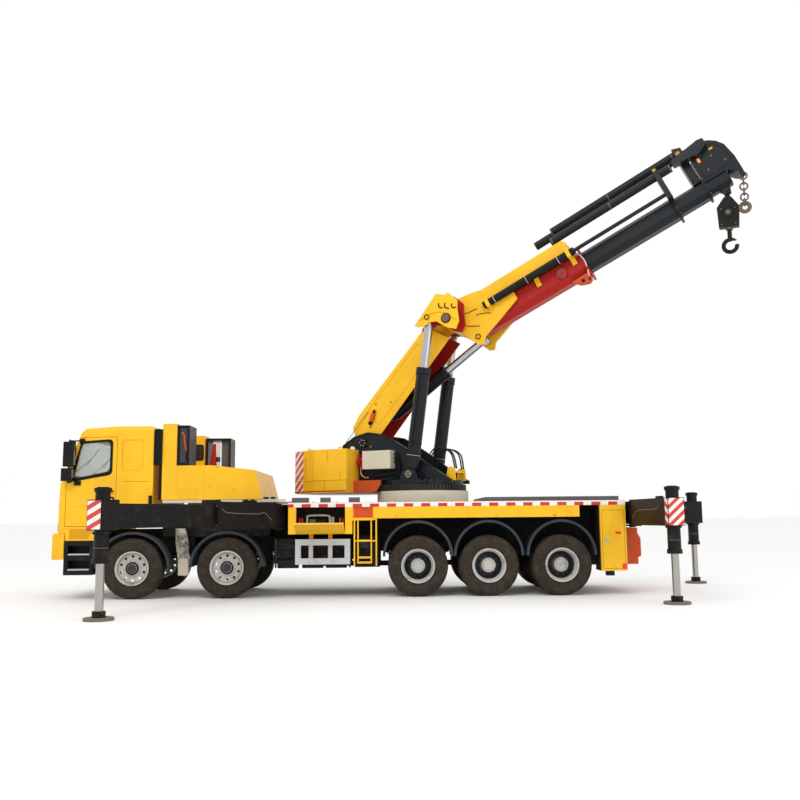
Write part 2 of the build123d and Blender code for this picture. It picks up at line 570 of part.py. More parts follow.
def slew_ring():
    """White ring bed on the deck with the toothed slewing ring on top."""
    centre = Pos(x_at(SLEW_STATION), 0, 0)
    bed = Pos(0, 0, (DECK_TOP + RING_TOP) / 2) * Cylinder(RING_RADIUS, RING_TOP - DECK_TOP)
    depth, height = 26, GEAR_TOP - RING_TOP
    gear = Pos(0, 0, (RING_TOP + GEAR_TOP) / 2) * Cylinder(GEAR_RADIUS - depth, height + 1)
    pitch = 360 / GEAR_TEETH
    root = GEAR_RADIUS * math.radians(pitch) * 0.36
    tooth = Polyline((GEAR_RADIUS - depth - 6, -root), (GEAR_RADIUS, -root * 0.5), (GEAR_RADIUS, root * 0.5),
                     (GEAR_RADIUS - depth - 6, root), close=True)
    tooth = extrude(Pos(0, 0, RING_TOP) * make_face(tooth), amount=height)
    teeth = [Rot(0, 0, pitch * number) * tooth for number in range(GEAR_TEETH)]
    bore = Pos(0, 0, (DECK_TOP + GEAR_TOP) / 2) * Cylinder(RING_BORE, GEAR_TOP - DECK_TOP + 20)
    return [centre * (join(bed, gear, teeth) - bore)]


def turntable():
    """Turntable: base plate on a spigot, two arched cheek plates, cylinder feet and the valve box."""
    base_low = GEAR_TOP + TURN_GAP
    spigot = Pos(x_at(SLEW_STATION), 0, 0) * Pos(0, 0, (1800 + base_low) / 2) * Cylinder(
        RING_BORE - RUN_GAP, base_low - 1800 + 2)
    disc = Pos(x_at(SLEW_STATION), 0, base_low + DISC_THICK / 2) * Cylinder(800, DISC_THICK)
    cheek = [CHEEK_NOSE, (-1690, 2560), (-1500, 2860), (-1250, 3020), (-950, 3090), (-600, 3030), (-150, 2760),
             (360, 2400), (800, 2120), (800, base_low + 20), CHEEK_HEEL]
    cheek = outline(SUPER, cheek, *CHEEK_Y)
    cheek -= cross_rod(SUPER, MAIN_PIVOT, 90 + RUN_GAP, CHEEK_Y[0] - 1, CHEEK_Y[1] + 1)
    foot_half = 90
    feet = [outline(SUPER, [(-150, base_low + 60), (-110, LIFT_BASE[1] + 60), (170, LIFT_BASE[1] + 60),
                            (240, base_low + 60)], y, y + 26)
            for y in (CHEEK_Y[1] - 1, LIFT_Y + foot_half)]
    foot_plate = outline(SUPER, [(-300, base_low + 10), (-300, base_low + 62), (400, base_low + 62),
                                 (400, base_low + 10)], CHEEK_Y[1] - 2, LIFT_Y + foot_half + 26)
    foot = join(feet, foot_plate, cross_rod(SUPER, LIFT_BASE, PIN_RADIUS - RUN_GAP, CHEEK_Y[1] - 1,
                                            LIFT_Y + foot_half + 40))
    web = outline(SUPER, [(-1690, 2240), (-1690, 2500), (-1640, 2500), (-1640, 2240)], -CHEEK_Y[0] - 1, CHEEK_Y[0] + 1)
    valve = outline(SUPER, [(-955, 2350), (-955, 2700), (-360, 2700), (-360, 2350)], CHEEK_Y[1] - 1, 740)
    return [slewed(join(spigot, disc, both_sides(cheek, foot), web, valve))]


def counterweight():
    """Faceted counterweight on the front of the turntable."""
    half = [(WEIGHT_NOTCH, 520), (WEIGHT_REAR, 520), (WEIGHT_REAR, 1050), (-1850, 1050), (-2450, 760), (-2560, 400)]
    plan = half + [(reach, -y) for reach, y in reversed(half)]
    face = make_face(Polyline(*[(x_at(SLEW_STATION) - reach, y) for reach, y in plan], close=True))
    height = WEIGHT_Z[1] - WEIGHT_Z[0]
    return [slewed(extrude(Pos(0, 0, WEIGHT_Z[0]) * face, amount=height, dir=(0, 0, 1)))]


def turntable_skirt():
    """Red tapered skirt that joins the counterweight to the turntable."""
    low = WEIGHT_Z[0] + 5
    front, back = WEIGHT_NOTCH + SEAT_GAP, -RING_RADIUS - 15
    slope = (CHEEK_NOSE[1] - CHEEK_HEEL[1]) / (CHEEK_NOSE[0] - CHEEK_HEEL[0])
    under_cheek = [(reach, CHEEK_HEEL[1] + slope * (reach - CHEEK_HEEL[0]) - SEAT_GAP) for reach in (front, back)]
    core = outline(SUPER, [(front, low), *under_cheek, (back, low)], -518, 518)
    shelf = GEAR_TOP + TURN_GAP + DISC_THICK + SEAT_GAP
    wing = outline(SUPER, [(WEIGHT_REAR + SEAT_GAP, low), (WEIGHT_REAR + SEAT_GAP, shelf + 20), (-560, shelf + 20),
                           (-560, 2050), (-660, low)], 715, 760)
    ledge = block((SLEW_STATION + WEIGHT_REAR + SEAT_GAP, SLEW_STATION + back), (CHEEK_Y[1] + 5, 716),
                  (shelf, shelf + 20))
    return [slewed(join(core, both_sides(wing, ledge)))]


def main_boom():
    """Main boom: a channel open below with a foot and a wide forked head."""
    def at_head(points):
        return [(MAIN_LENGTH + place, height) for place, height in points]
    side = [(-160, -112), (-180, 120), (40, 470), (330, 520)]
    side += at_head([(-520, 470), (-360, 420), (-360, 250), (-300, -90)])
    walls = both_sides(outline(MAIN, side, MAIN_HALF - PLATE, MAIN_HALF))
    top = [(50, 465), (330, 515), *at_head([(-520, 465), (-370, 416)])]
    back = outline(MAIN, top + [(place, height - PLATE) for place, height in reversed(top)], -MAIN_HALF + 5,
                   MAIN_HALF - 5)
    cheek = at_head([(-490, 440), (252, 474), (340, 300), (406, 290), (401, 42), (275, -60), (106, -243), (-51, -288),
                     (-130, -120), (-160, 130), (-250, 235), (-320, 245), (-460, 370)])
    inner = outline(MAIN, cheek, *HEAD_INNER)
    outer = outline(MAIN, cheek, HEAD_HALF - HEAD_PLATE, HEAD_HALF)
    # Covers as first station along the boom and half width: the slots above the lift eyes stay open
    covers = [outline(MAIN, at_head([(first, 438 - PLATE), (first, 438), (245, 470), (245, 470 - PLATE)]), -half, half)
              for first, half in ((-480, HEAD_INNER[0] + 10), (0, HEAD_HALF - 5))]
    neck = outline(MAIN, at_head([(-520, 300), (-520, 435), (-400, 435), (-400, 300)]), MAIN_HALF - 2,
                   HEAD_INNER[0] + 4)
    bosses = both_sides(neck, cross_rod(MAIN, (MAIN_LENGTH, 0), 112, HEAD_INNER[1] - 5, HEAD_HALF - HEAD_PLATE + 5),
                        cross_rod(MAIN, LIFT_EYE, PIN_RADIUS + 20, HEAD_HALF - 5, HEAD_HALF + 14))
    pins = [cross_rod(MAIN, (0, 0), 90, -CHEEK_Y[1] - 30, CHEEK_Y[1] + 30),
            cross_rod(MAIN, FOLD_BASE, PIN_RADIUS - RUN_GAP, -MAIN_HALF + 5, MAIN_HALF - 5),
            cross_rod(MAIN, (MAIN_LENGTH, 0), 80, -HEAD_HALF - 12, HEAD_HALF + 12)]
    return [slewed(join(walls, back, both_sides(inner, outer), covers, bosses, pins))]


def cylinder(base, eye, sizes, y, eye_half, pin_half):
    """Barrel, and rod with its pin, of a cylinder between two (reach, height) places.

    The sizes are barrel length, barrel radius, rod radius and the stroke left to draw in.
    """
    length, barrel_radius, rod_radius, draw_in = sizes
    start, end = (SUPER.from_local_coords(Vector(point[0], point[1], y)) for point in (base, eye))
    along = (end - start).normalized()
    floor = PIN_RADIUS + 140
    across = Vector(0, 1, 0)
    barrel = join(rod(start + along * (PIN_RADIUS + 90), start + along * length, barrel_radius),
                  rod(start + along * (length - 90), start + along * (length + 20), barrel_radius + 12),
                  rod(start + along * 20, start + along * (PIN_RADIUS + 95), eye_half - 8),
                  rod(start - across * eye_half, start + across * eye_half, PIN_RADIUS + 35))
    barrel -= rod(start - across * (eye_half + 9), start + across * (eye_half + 9), PIN_RADIUS)
    barrel -= rod(start + along * floor, start + along * (length + 30), rod_radius + RUN_GAP)
    plunger = join(rod(start + along * (floor + draw_in + 15), end - along * 20, rod_radius),
                   rod(end - across * eye_half, end + across * eye_half, PIN_RADIUS + 35),
                   rod(end - across * pin_half, end + across * pin_half, PIN_RADIUS))
    return barrel, plunger


def lift_cylinders():
    """The pair of cylinders that raise the main boom, as barrels and rods."""
    sizes = (2020, LIFT_BARREL_RADIUS, LIFT_ROD_RADIUS, LIFT_DRAW_IN)
    eye_half = LIFT_ROD_RADIUS + 1
    slot = min(LIFT_Y - HEAD_INNER[1], HEAD_HALF - HEAD_PLATE - LIFT_Y)
    pair = [cylinder(LIFT_BASE, reach_of(MAIN, LIFT_EYE), sizes, y, eye_half, slot - 6) for y in (LIFT_Y, -LIFT_Y)]
    return [slewed(barrel) for barrel, _ in pair], [slewed(plunger) for _, plunger in pair]


def fold_cylinder():
    """The cylinder inside the main boom that folds the second boom."""
    sizes = (1480, FOLD_BARREL_RADIUS, FOLD_ROD_RADIUS, FOLD_DRAW_IN)
    barrel, plunger = cylinder(reach_of(MAIN, FOLD_BASE), reach_of(FOLD, FOLD_EYE), sizes, 0, FOLD_ROD_RADIUS + 30,
                               KNEE_INNER - 6)
    return [slewed(barrel)], [slewed(plunger)]


def tube_core(along, middle, size, inset):
    """Solid eight-sided bar along the second boom, as (half width, half height) set in by a wall."""
    width, height = (half - inset for half in size)
    crown = height * 0.55
    flat = width * 0.45
    ring = [(-width, -crown), (-flat, -height), (flat, -height), (width, -crown), (width, crown), (flat, height),
            (-flat, height), (-width, crown)]
    start = FOLD.from_local_coords(Vector(along[0], middle, 0))
    end_on = Plane(origin=start, x_dir=(0, 1, 0), z_dir=FOLD.x_dir)
    return extrude(end_on * make_face(Polyline(*ring, close=True)), amount=along[1] - along[0], dir=FOLD.x_dir)


def boom_tube(along, middle, size, wall):
    """Eight-sided boom section between two lengths along the second boom, solid where it has no wall."""
    tube = tube_core(along, middle, size, 0)
    return tube - tube_core(along, middle, size, wall) if wall else tube


def second_boom():
    """Yellow back of the second boom: knuckle plates, spine and the collars that hold the case."""
    knee = [(-120, 150), (-150, 0), (-110, -130), (20, -210), (230, -640), (330, -680), (420, -560), (1290, -240),
            (1290, -9), (700, 20), (700, 310), (430, 360), (260, 385), (40, 330)]
    knee_half = KNEE_INNER + KNEE_PLATE
    plates = both_sides(outline(FOLD, knee, KNEE_INNER, knee_half))
    bore = cross_rod(FOLD, (0, 0), 80 + RUN_GAP, -400, 400)
    spine = outline(FOLD, [(260, 40), (260, 385), (430, 360), (700, 310), (2500, 310), (2560, 230), (2560, 10),
                           (700, 10)], -KNEE_INNER - 1, KNEE_INNER + 1)
    collars = [outline(FOLD, [(low, -240), (low, 12), (low + 90, 12), (low + 90, -240)], y, y + 40)
               for low in (1720, 2480) for y in (-294, 254)]
    hub = cross_rod(FOLD, (0, 0), 170, -KNEE_INNER - 1, KNEE_INNER + 1)
    caps = both_sides(cross_rod(FOLD, FOLD_EYE, PIN_RADIUS + 20, knee_half - 1, knee_half + 14))
    # Brackets for the extension cylinder as first place along the boom and inner face
    brackets = [outline(FOLD, [(low, -130), (low, 50), (low + 70, 50), (low + 70, -130)], inner,
                        EXTEND_Y + EXTEND_RADIUS + 18)
                for low, inner in ((740, knee_half - 1), (2480, 293))]
    barrel = rod(*extension_line(600, 2700), EXTEND_RADIUS + SEAT_GAP)
    return [slewed(join(plates, spine, hub, collars, caps, brackets) - bore - barrel)]


def boom_case():
    """Red eight-sided case of the telescope with its front flange and pad cap."""
    case = boom_tube((420, 2700), CASE_MIDDLE, CASE_SIZE, SECTION_WALL)
    flange = boom_tube((2660, 2700), CASE_MIDDLE - 30, (300, 300), 0)
    flange -= boom_tube((2600, 2760), CASE_MIDDLE, (CASE_SIZE[0] - 2, CASE_SIZE[1] - 2), 0)
    back = boom_tube((420, 450), CASE_MIDDLE, CASE_SIZE, 0)
    cap = cross_rod(FOLD, (2230, -268), 95, CASE_SIZE[0] - 10, CASE_SIZE[0] + 90)
    return [slewed(join(case, flange, back, cap))]


def along_fold(start, end, q, y, radius):
    """Round bar along the second boom between two lengths, at a height and a distance to the left."""
    return rod(FOLD.from_local_coords(Vector(start, q, y)), FOLD.from_local_coords(Vector(end, q, y)), radius)


def extension_line(start, end):
    """Two points of the extension cylinder's axis."""
    return [FOLD.from_local_coords(Vector(place, -45, EXTEND_Y)) for place in (start, end)]


def extension_cylinder():
    """Barrel along the left of the case that pushes the first section out."""
    barrel = Part() + [rod(*extension_line(680, 2640), EXTEND_RADIUS)]
    return [slewed(barrel - rod(*extension_line(700, 2650), EXTEND_ROD + RUN_GAP))]


def telescope(first, last, size, flange_grow):
    """One telescope section: a hollow eight-sided tube with a flange at its front end."""
    tube = boom_tube((first, last), CASE_MIDDLE, size, SECTION_WALL)
    flange = boom_tube((last - 30, last + 10), CASE_MIDDLE, (size[0] + flange_grow, size[1] + flange_grow), 0)
    return join(tube, flange - boom_tube((last - 40, last + 20), CASE_MIDDLE, (size[0] - 1, size[1] - 1), 0))


def without_bore(shape, size, last=HEAD_TUBE_END):
    """A bracket cut back so that it doesn't reach into a telescope section."""
    return shape - boom_tube((2000, last), CASE_MIDDLE, (size[0] - 1, size[1] - 1), 0)


def boom_section_1():
    """First telescope section with its pushed rod and the second cylinder's barrel."""
    tube = telescope(2150, 4530, SECTION_1_SIZE, 55)
    lug = outline(FOLD, [(4470, -150), (4470, 480), (4560, 480), (4560, -150)], 178, EXTEND_Y + 60)
    piston = rod(*extension_line(EXTEND_ROD_FIRST, 4480), EXTEND_ROD)
    return [slewed(join(tube, without_bore(lug, SECTION_1_SIZE), piston, along_fold(2320, 4790, 400, 250, 70)))]


def boom_section_2():
    """Second telescope section with the pair of barrels it carries on its back."""
    tube = telescope(2250, 5120, SECTION_2_SIZE, 42)
    saddle = outline(FOLD, [(4960, -60), (4960, 760), (5110, 700), (5110, -60)], -250, 120)
    barrels = [along_fold(2400, 4970, 655, 20, 80), along_fold(2000, 4970, 655, -160, 80)]
    return [slewed(join(tube, without_bore(saddle, SECTION_2_SIZE), barrels))]


def boom_head():
    """Innermost section with the wide head, its bracket on the left and the ears of the hook."""
    tube = boom_tube((2400, 5540), CASE_MIDDLE, SECTION_3_SIZE, SECTION_WALL)
    head = [(5140, -150), (5140, 430), (5383, 567), (5480, 545), (5560, 500), (5655, 419), (5737, 287), (5780, 0),
            (5775, -300), (5700, -300), (5640, -250), (5560, -150)]
    head = without_bore(outline(FOLD, head, -HEAD_BOX_HALF, HEAD_BOX_HALF), SECTION_3_SIZE)
    bracket = outline(FOLD, [(4836, 398), (4836, 489), (5383, 567), (5480, 545), (5480, 420), (5300, 330)], 150, 330)
    ears = both_sides(outline(FOLD, [(5300, -370), (5480, -370), (5440, -490), (5330, -490)], 40, 68))
    low = CHAIN_PIN[1] - 40
    lugs = [outline(FOLD, [(5695, -290), (5775, -290), (5765, low), (5705, low)], CHAIN_Y + side, CHAIN_Y + side + 12)
            for side in (-34, 22)]
    hook_pin = cross_rod(FOLD, HOOK_PIN, HOOK_PIN_RADIUS - RUN_GAP, -80, 80)
    chain_pin = cross_rod(FOLD, CHAIN_PIN, CHAIN_PIN_RADIUS, CHAIN_Y - 34, CHAIN_Y + 34)
    return [slewed(join(tube, head, bracket, ears, lugs, hook_pin, chain_pin))]


def hook_block():
    """Hook block hanging from the head, with its swivel and hook."""
    reach, z = reach_of(FOLD, HOOK_PIN)
    x = x_at(SLEW_STATION) - reach
    yoke = outline(SUPER, [(reach - 42, z - 130), (reach - 42, z + 42), (reach + 42, z + 42), (reach + 42, z - 130)],
                   -32, 32)
    yoke -= cross_rod(SUPER, (reach, z), HOOK_PIN_RADIUS, -40, 40)
    body = outline(SUPER, [(reach - 165, z - 660), (reach - 185, z - 300), (reach - 60, z - 120),
                           (reach + 60, z - 120), (reach + 185, z - 300), (reach + 165, z - 660)],
                   -HOOK_HALF, HOOK_HALF)
    bowl_z = z - 990
    bowl = Plane(origin=(x, 0, bowl_z), z_dir=(0, 1, 0)) * Torus(110, 36)
    bowl -= block((SLEW_STATION + reach + 20, SLEW_STATION + reach + 200), (-60, 60), (bowl_z + 10, bowl_z + 90))
    stem = rod((x, 0, bowl_z + 100), (x, 0, z - 650), 38)
    return [slewed(join(yoke, body, stem, bowl))]


def tip_chain():
    """Short chain with an eye hanging from the tip."""
    reach, z = reach_of(FOLD, CHAIN_PIN)
    x = x_at(SLEW_STATION) - reach
    ring, wire, count = 62, 14, 6
    eye_ring, eye_wire = 76, 34
    pitch = 2 * (ring - wire) - SEAT_GAP
    top = z + CHAIN_PIN_RADIUS + SEAT_GAP - (ring - wire)
    links = []
    for number in range(count):
        link = Plane(origin=(x, CHAIN_Y, top - pitch * number), z_dir=(number % 2, 1 - number % 2, 0))
        links.append(slewed(link * Torus(ring, wire)))
    drop = pitch * (count - 1) + ring - wire + eye_ring - eye_wire - SEAT_GAP
    eye = Plane(origin=(x, CHAIN_Y, top - drop), z_dir=(0, 1, 0)) * Torus(eye_ring, eye_wire)
    return [*links, slewed(eye)]


def toolbox_door():
    """Drop door of the left toolbox bay, let down on its hinge."""
    door = block((BAY_FRONT + 5, BAY_REAR - 5), (DECK_HALF - 30, DECK_HALF), (BAY_FLOOR + 5, BAY_FLOOR + 460))
    hinge = Axis((0, DECK_HALF, BAY_FLOOR + 5), (-1, 0, 0))
    return [door.rotate(hinge, TOOLBOX_OPEN)]


def outrigger_plane(pivot, y, bearing):
    """Plane at an outrigger's pivot: local X outwards along the beam, local Y up."""
    turn = math.radians(bearing)
    return Plane(origin=(x_at(pivot), y, 0), x_dir=(math.cos(turn), math.sin(turn), 0),
                 z_dir=(math.sin(turn), -math.cos(turn), 0))


def jack_rod(plane, reach, heights, radius):
    """Round upright bar at a distance along an outrigger beam."""
    foot = plane.from_local_coords(Vector(reach, 0, 0))
    return rod((foot.X, foot.Y, heights[0]), (foot.X, foot.Y, heights[1]), radius)


def jack_barrel(plane, reach):
    """Jack tube at a beam's end with its cap and collar, bored for the rod."""
    low, high = JACK_Z
    tube = join(jack_rod(plane, reach, JACK_Z, JACK_RADIUS), jack_rod(plane, reach, (low, low + 70), JACK_RADIUS + 16),
                jack_rod(plane, reach, (LUG_Z[0] - 50, LUG_Z[0] - 10), JACK_RADIUS + 24),
                jack_rod(plane, reach, (high - 60, high), JACK_RADIUS + 18))
    return tube, jack_rod(plane, reach, (low - 1, high - 60), JACK_ROD_RADIUS + RUN_GAP)


def jack_foot(plane, reach):
    """Jack rod with its ball block and round foot plate."""
    sizes = (((0, 42), 215), ((40, 130), 95), ((120, JACK_ROD_TOP), JACK_ROD_RADIUS))
    return [join([jack_rod(plane, reach, heights, radius) for heights, radius in sizes])]


def front_outrigger(bearing, y):
    """Swinging outer beam, telescoping inner beam with jack, and jack foot of a front outrigger."""
    plane = outrigger_plane(FRONT_PIVOT, y, bearing)
    lug = outline(plane, [(-1, LUG_Z[0]), (-1, LUG_Z[1]), (300, LUG_Z[1]), (300, LUG_Z[0])], -150, 150)
    beam = outline(plane, [(215, LUG_Z[0]), (215, LUG_Z[1]), (290, 1705), (FRONT_OUTER, 1705), (FRONT_OUTER, 1235),
                           (290, 1235)], -165, 165)
    beam -= outline(plane, [(320, 1290), (320, 1660), (FRONT_OUTER + 1, 1660), (FRONT_OUTER + 1, 1290)], -125, 125)
    collar = outline(plane, [(FRONT_OUTER - 60, 1215), (FRONT_OUTER - 60, 1735), (FRONT_OUTER, 1735),
                             (FRONT_OUTER, 1215)], -185, 185)
    collar -= outline(plane, [(FRONT_OUTER - 70, 1290), (FRONT_OUTER - 70, 1660), (FRONT_OUTER + 1, 1660),
                              (FRONT_OUTER + 1, 1290)], -125, 125)
    root = upright(FRONT_PIVOT, y, LUG_Z, 150)
    bore = upright(FRONT_PIVOT, y, (LUG_Z[0] - 1, LUG_Z[1] + 1), OUTRIGGER_PIN)
    outer = join(lug, beam, collar, root) - bore
    tube, jack_bore = jack_barrel(plane, FRONT_REACH)
    inner = outline(plane, [(1450, 1294), (1450, 1656), (FRONT_REACH, 1656), (FRONT_REACH, 1294)], -120, 120)
    end = outline(plane, [(FRONT_REACH - 180, 1270), (FRONT_REACH - 180, 1710), (FRONT_REACH + 150, 1710),
                          (FRONT_REACH + 150, 1270)], -150, 150)
    return [outer], [join(inner, end, tube) - jack_bore], jack_foot(plane, FRONT_REACH)


def rear_outrigger(bearing, y):
    """Swinging beam with its jack, and jack foot of a rear outrigger."""
    plane = outrigger_plane(REAR_PIVOT, y, bearing)
    beam = outline(plane, [(-1, LUG_Z[0]), (-1, LUG_Z[1]), (215, LUG_Z[1]), (290, 1700), (REAR_REACH + 150, 1700),
                           (REAR_REACH + 150, 1245), (290, 1245), (215, LUG_Z[0])], -138, 138)
    root = upright(REAR_PIVOT, y, LUG_Z, 138)
    bore = upright(REAR_PIVOT, y, (LUG_Z[0] - 1, LUG_Z[1] + 1), OUTRIGGER_PIN)
    tube, jack_bore = jack_barrel(plane, REAR_REACH)
    return [join(beam, root, tube) - bore - jack_bore], jack_foot(plane, REAR_REACH)


def build():
    """Every node of the crane as name and solids."""
    simple = (frame_rails, front_axles, rear_axles, engine, cab_shell, cab_glass, cab_interior, bumper, cab_trim,
              power_housing, deck, deck_plates, side_guards, fenders, tail_frame, slew_ring, turntable, counterweight,
              turntable_skirt, main_boom, second_boom, boom_case, extension_cylinder, boom_section_1, boom_section_2,
              boom_head, hook_block, tip_chain, toolbox_door)
    for make in simple:
        made = make()
        parts[make.__name__] = made if isinstance(made, list) else [made]
    parts["lift_barrels"], parts["lift_rods"] = lift_cylinders()
    parts["fold_barrel"], parts["fold_rod"] = fold_cylinder()
    for number, station in enumerate(AXLE_STATIONS, 1):
        steered = number <= STEERED_AXLES
        pair = {"wheel": front_wheel(station) if steered else rear_wheel(station)}
        if steered:
            pair["knuckle"] = steer_knuckle(station)
        for name, made in pair.items():
            parts[f"{name}_{number}_left"] = made
            parts[f"{name}_{number}_right"] = [mirror(shape, Plane.XZ) for shape in made]
    door = cab_door()
    parts["door_left"], parts["door_right"] = door, [mirror(shape, Plane.XZ) for shape in door]
    for side, sign in (("left", 1), ("right", -1)):
        outer, inner, foot = front_outrigger(sign * FRONT_SPREAD, sign * OUTRIGGER_Y)
        parts[f"front_beam_{side}"], parts[f"front_inner_{side}"], parts[f"front_foot_{side}"] = outer, inner, foot
        spread = REAR_SPREAD_LEFT if sign > 0 else REAR_SPREAD_RIGHT
        beam, foot = rear_outrigger(180 - sign * spread, sign * OUTRIGGER_Y)
        parts[f"rear_beam_{side}"], parts[f"rear_foot_{side}"] = beam, foot


def find_pivots():
    """Joint places and directions in millimetres, printed for whoever describes the motion."""
    across = slewed_direction(0, 1, 0)
    lift_top = reach_of(MAIN, LIFT_EYE)
    fold_low, fold_top = reach_of(MAIN, FOLD_BASE), reach_of(FOLD, FOLD_EYE)
    def along(start, end):
        size = math.dist(start, end)
        return slewed_direction(-(end[0] - start[0]) / size, 0, (end[1] - start[1]) / size)
    pivots["slew"] = ((x_at(SLEW_STATION), 0, GEAR_TOP), (0, 0, 1))
    pivots["main_lift"] = (slewed_point(MAIN_PIVOT), across)
    pivots["lift_barrel"] = (slewed_point(LIFT_BASE), across)
    pivots["lift_rod"] = (slewed_point(lift_top), along(LIFT_BASE, lift_top))
    pivots["fold"] = (slewed_point(FOLD_PIVOT), across)
    pivots["fold_barrel"] = (slewed_point(fold_low), across)
    pivots["fold_rod"] = (slewed_point(fold_top), along(fold_low, fold_top))
    pivots["reach"] = (slewed_point(FOLD_PIVOT), along(FOLD_PIVOT, reach_of(FOLD, (1000, 0))))
    pivots["hook"] = (slewed_point(reach_of(FOLD, HOOK_PIN)), across)
    pivots["chain"] = (slewed_point(reach_of(FOLD, CHAIN_PIN), CHAIN_Y), across)
    for number, station in enumerate(AXLE_STATIONS, 1):
        pivots[f"axle_{number}"] = ((x_at(station), 0, AXLE_HEIGHT), (0, 1, 0))
        pivots[f"kingpin_{number}"] = ((x_at(station), KINGPIN_Y, AXLE_HEIGHT), (0, 0, 1))
    pivots["door"] = ((x_at(DOOR_OUTLINE[0][0]), CAB_HALF, DOOR_OUTLINE[0][1]), (0, 0, 1))
    pivots["toolbox"] = ((x_at(BAY_FRONT), DECK_HALF, BAY_FLOOR + 5), (-1, 0, 0))
    for name, station in (("front", FRONT_PIVOT), ("rear", REAR_PIVOT)):
        pivots[f"{name}_swing"] = ((x_at(station), OUTRIGGER_Y, LUG_Z[0]), (0, 0, 1))
    for side, sign in (("left", 1), ("right", -1)):
        turn = math.radians(sign * FRONT_SPREAD)
        pivots[f"front_inner_{side}"] = ((x_at(FRONT_PIVOT), sign * OUTRIGGER_Y, LUG_Z[0]),
                                         (math.cos(turn), math.sin(turn), 0))


build()
find_pivots()
os.makedirs("parts", exist_ok=True)
for name, shapes in parts.items():
    solids = [solid for shape in shapes for solid in shape.solids()]
    export_step(solids[0] if len(solids) == 1 else Compound(children=solids), f"parts/{name}.step")
for name, (place, direction) in pivots.items():
    print("pivot", name, *(round(value, 6) for value in (*place, *direction)))
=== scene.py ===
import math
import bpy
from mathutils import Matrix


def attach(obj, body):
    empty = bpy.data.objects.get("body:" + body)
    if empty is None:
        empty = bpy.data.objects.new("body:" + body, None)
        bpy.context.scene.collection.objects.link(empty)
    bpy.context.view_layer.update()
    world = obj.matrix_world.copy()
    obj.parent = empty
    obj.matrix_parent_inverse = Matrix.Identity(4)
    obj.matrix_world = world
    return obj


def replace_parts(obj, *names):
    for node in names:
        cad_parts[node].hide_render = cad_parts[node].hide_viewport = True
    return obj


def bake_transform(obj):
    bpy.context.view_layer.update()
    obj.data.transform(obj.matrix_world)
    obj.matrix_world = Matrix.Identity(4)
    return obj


bl_info = {
    "name": "Knuckle boom truck crane",
    "version": (1, 0, 0),
    "blender": (4, 5, 0),
    "location": "View3D > Sidebar > Crane",
    "description": "Dresses the crane's frame with paint, tyres, trim and rigging, on a pale studio floor",
    "category": "Object",
}

import bmesh
import bpy
import numpy as np
from bpy.props import FloatProperty, PointerProperty
from mathutils import Matrix, Vector

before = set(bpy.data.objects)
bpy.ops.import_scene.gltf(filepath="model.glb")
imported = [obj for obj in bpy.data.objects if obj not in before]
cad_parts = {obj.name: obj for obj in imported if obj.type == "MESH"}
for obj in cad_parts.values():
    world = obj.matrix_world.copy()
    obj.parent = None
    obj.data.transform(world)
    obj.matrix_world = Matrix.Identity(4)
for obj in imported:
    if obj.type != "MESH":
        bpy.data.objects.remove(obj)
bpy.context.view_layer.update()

# Places in metres, in the frame's own axes
FIRST_AXLE_X = 4.91
AXLE_STATIONS = (0.0, 1.705, 5.155, 6.44, 7.76)
AXLE_HEIGHT = 0.545
TYRE_RADIUS, TYRE_WIDTH = 0.545, 0.3
FRONT_TYRE_Y = 1.07
TWIN_YS = (0.76, 1.095)
DECK_HALF = 1.25
DECK_FRONT, DECK_REAR = 2.8, 8.94
SLEW_X, SLEW_TURN = -0.39, math.radians(25)
MAIN_PIVOT, MAIN_LEAN = (-1.05, 2.88), math.radians(50)
FOLD_PIVOT, FOLD_LEAN = (0.85265, 5.14749), math.radians(25.5)
FRONT_SWING, REAR_SWING = (2.31, 1.0), (-4.215, 1.0)
FRONT_BEARING, FRONT_REACH = 58.7, 4.04
REAR_BEARINGS, REAR_REACH = {"left": 94.0, "right": 190.0}, 1.95
SIDES = {"left": 1, "right": -1}
ALONG, ACROSS, UP = (1, 0, 0), (0, 1, 0), (0, 0, 1)

# Pins as (reach, height) or, on a boom, (along, above)
BARREL_PIN, LIFT_EYE, HOOK_PIN = (0.04, 2.23), (2.753, 0.336), (5.385, -0.44)
BARREL_LEFT, BARREL_RADIUS = 0.65, 0.13

# The photograph's width and focal length in pixels, then the camera's place and its yaw, pitch and roll
PHOTO_WIDTH, FOCAL_LENGTH = 800, 872.44
CAMERA_STATION, CAMERA_LEFT, CAMERA_HEIGHT = 4.6906, 17.2173, 1.4172
CAMERA_TURNS = (0.588, 7.665, 0.506)
FLOOR_HALF = 400.0


def x_at(station):
    """World x of a distance behind the first axle."""
    return FIRST_AXLE_X - station


def crane_point(points):
    """World places of (reach, left, height) rows: the upperworks turned about the slewing axis."""
    reach, left, height = np.asarray(points, float).T
    cos, sin = math.cos(SLEW_TURN), math.sin(SLEW_TURN)
    return np.stack([SLEW_X - reach * cos + left * sin, reach * sin + left * cos, height], 1)


def boom_point(points, pivot, lean):
    """World places of (along, left, above) rows on a boom that leaves its pivot at a lean."""
    along, left, above = np.asarray(points, float).T
    reach = pivot[0] + along * math.cos(lean) - above * math.sin(lean)
    height = pivot[1] + along * math.sin(lean) + above * math.cos(lean)
    return crane_point(np.stack([reach, left, height], 1))


def main_point(points):
    """World places of rows on the main boom."""
    return boom_point(points, MAIN_PIVOT, MAIN_LEAN)


def fold_point(points):
    """World places of rows on the second boom."""
    return boom_point(points, FOLD_PIVOT, FOLD_LEAN)


def truck_point(points):
    """World places of (station, left, height) rows on the truck."""
    rows = np.asarray(points, float)
    return np.stack([FIRST_AXLE_X - rows[:, 0], rows[:, 1], rows[:, 2]], 1)


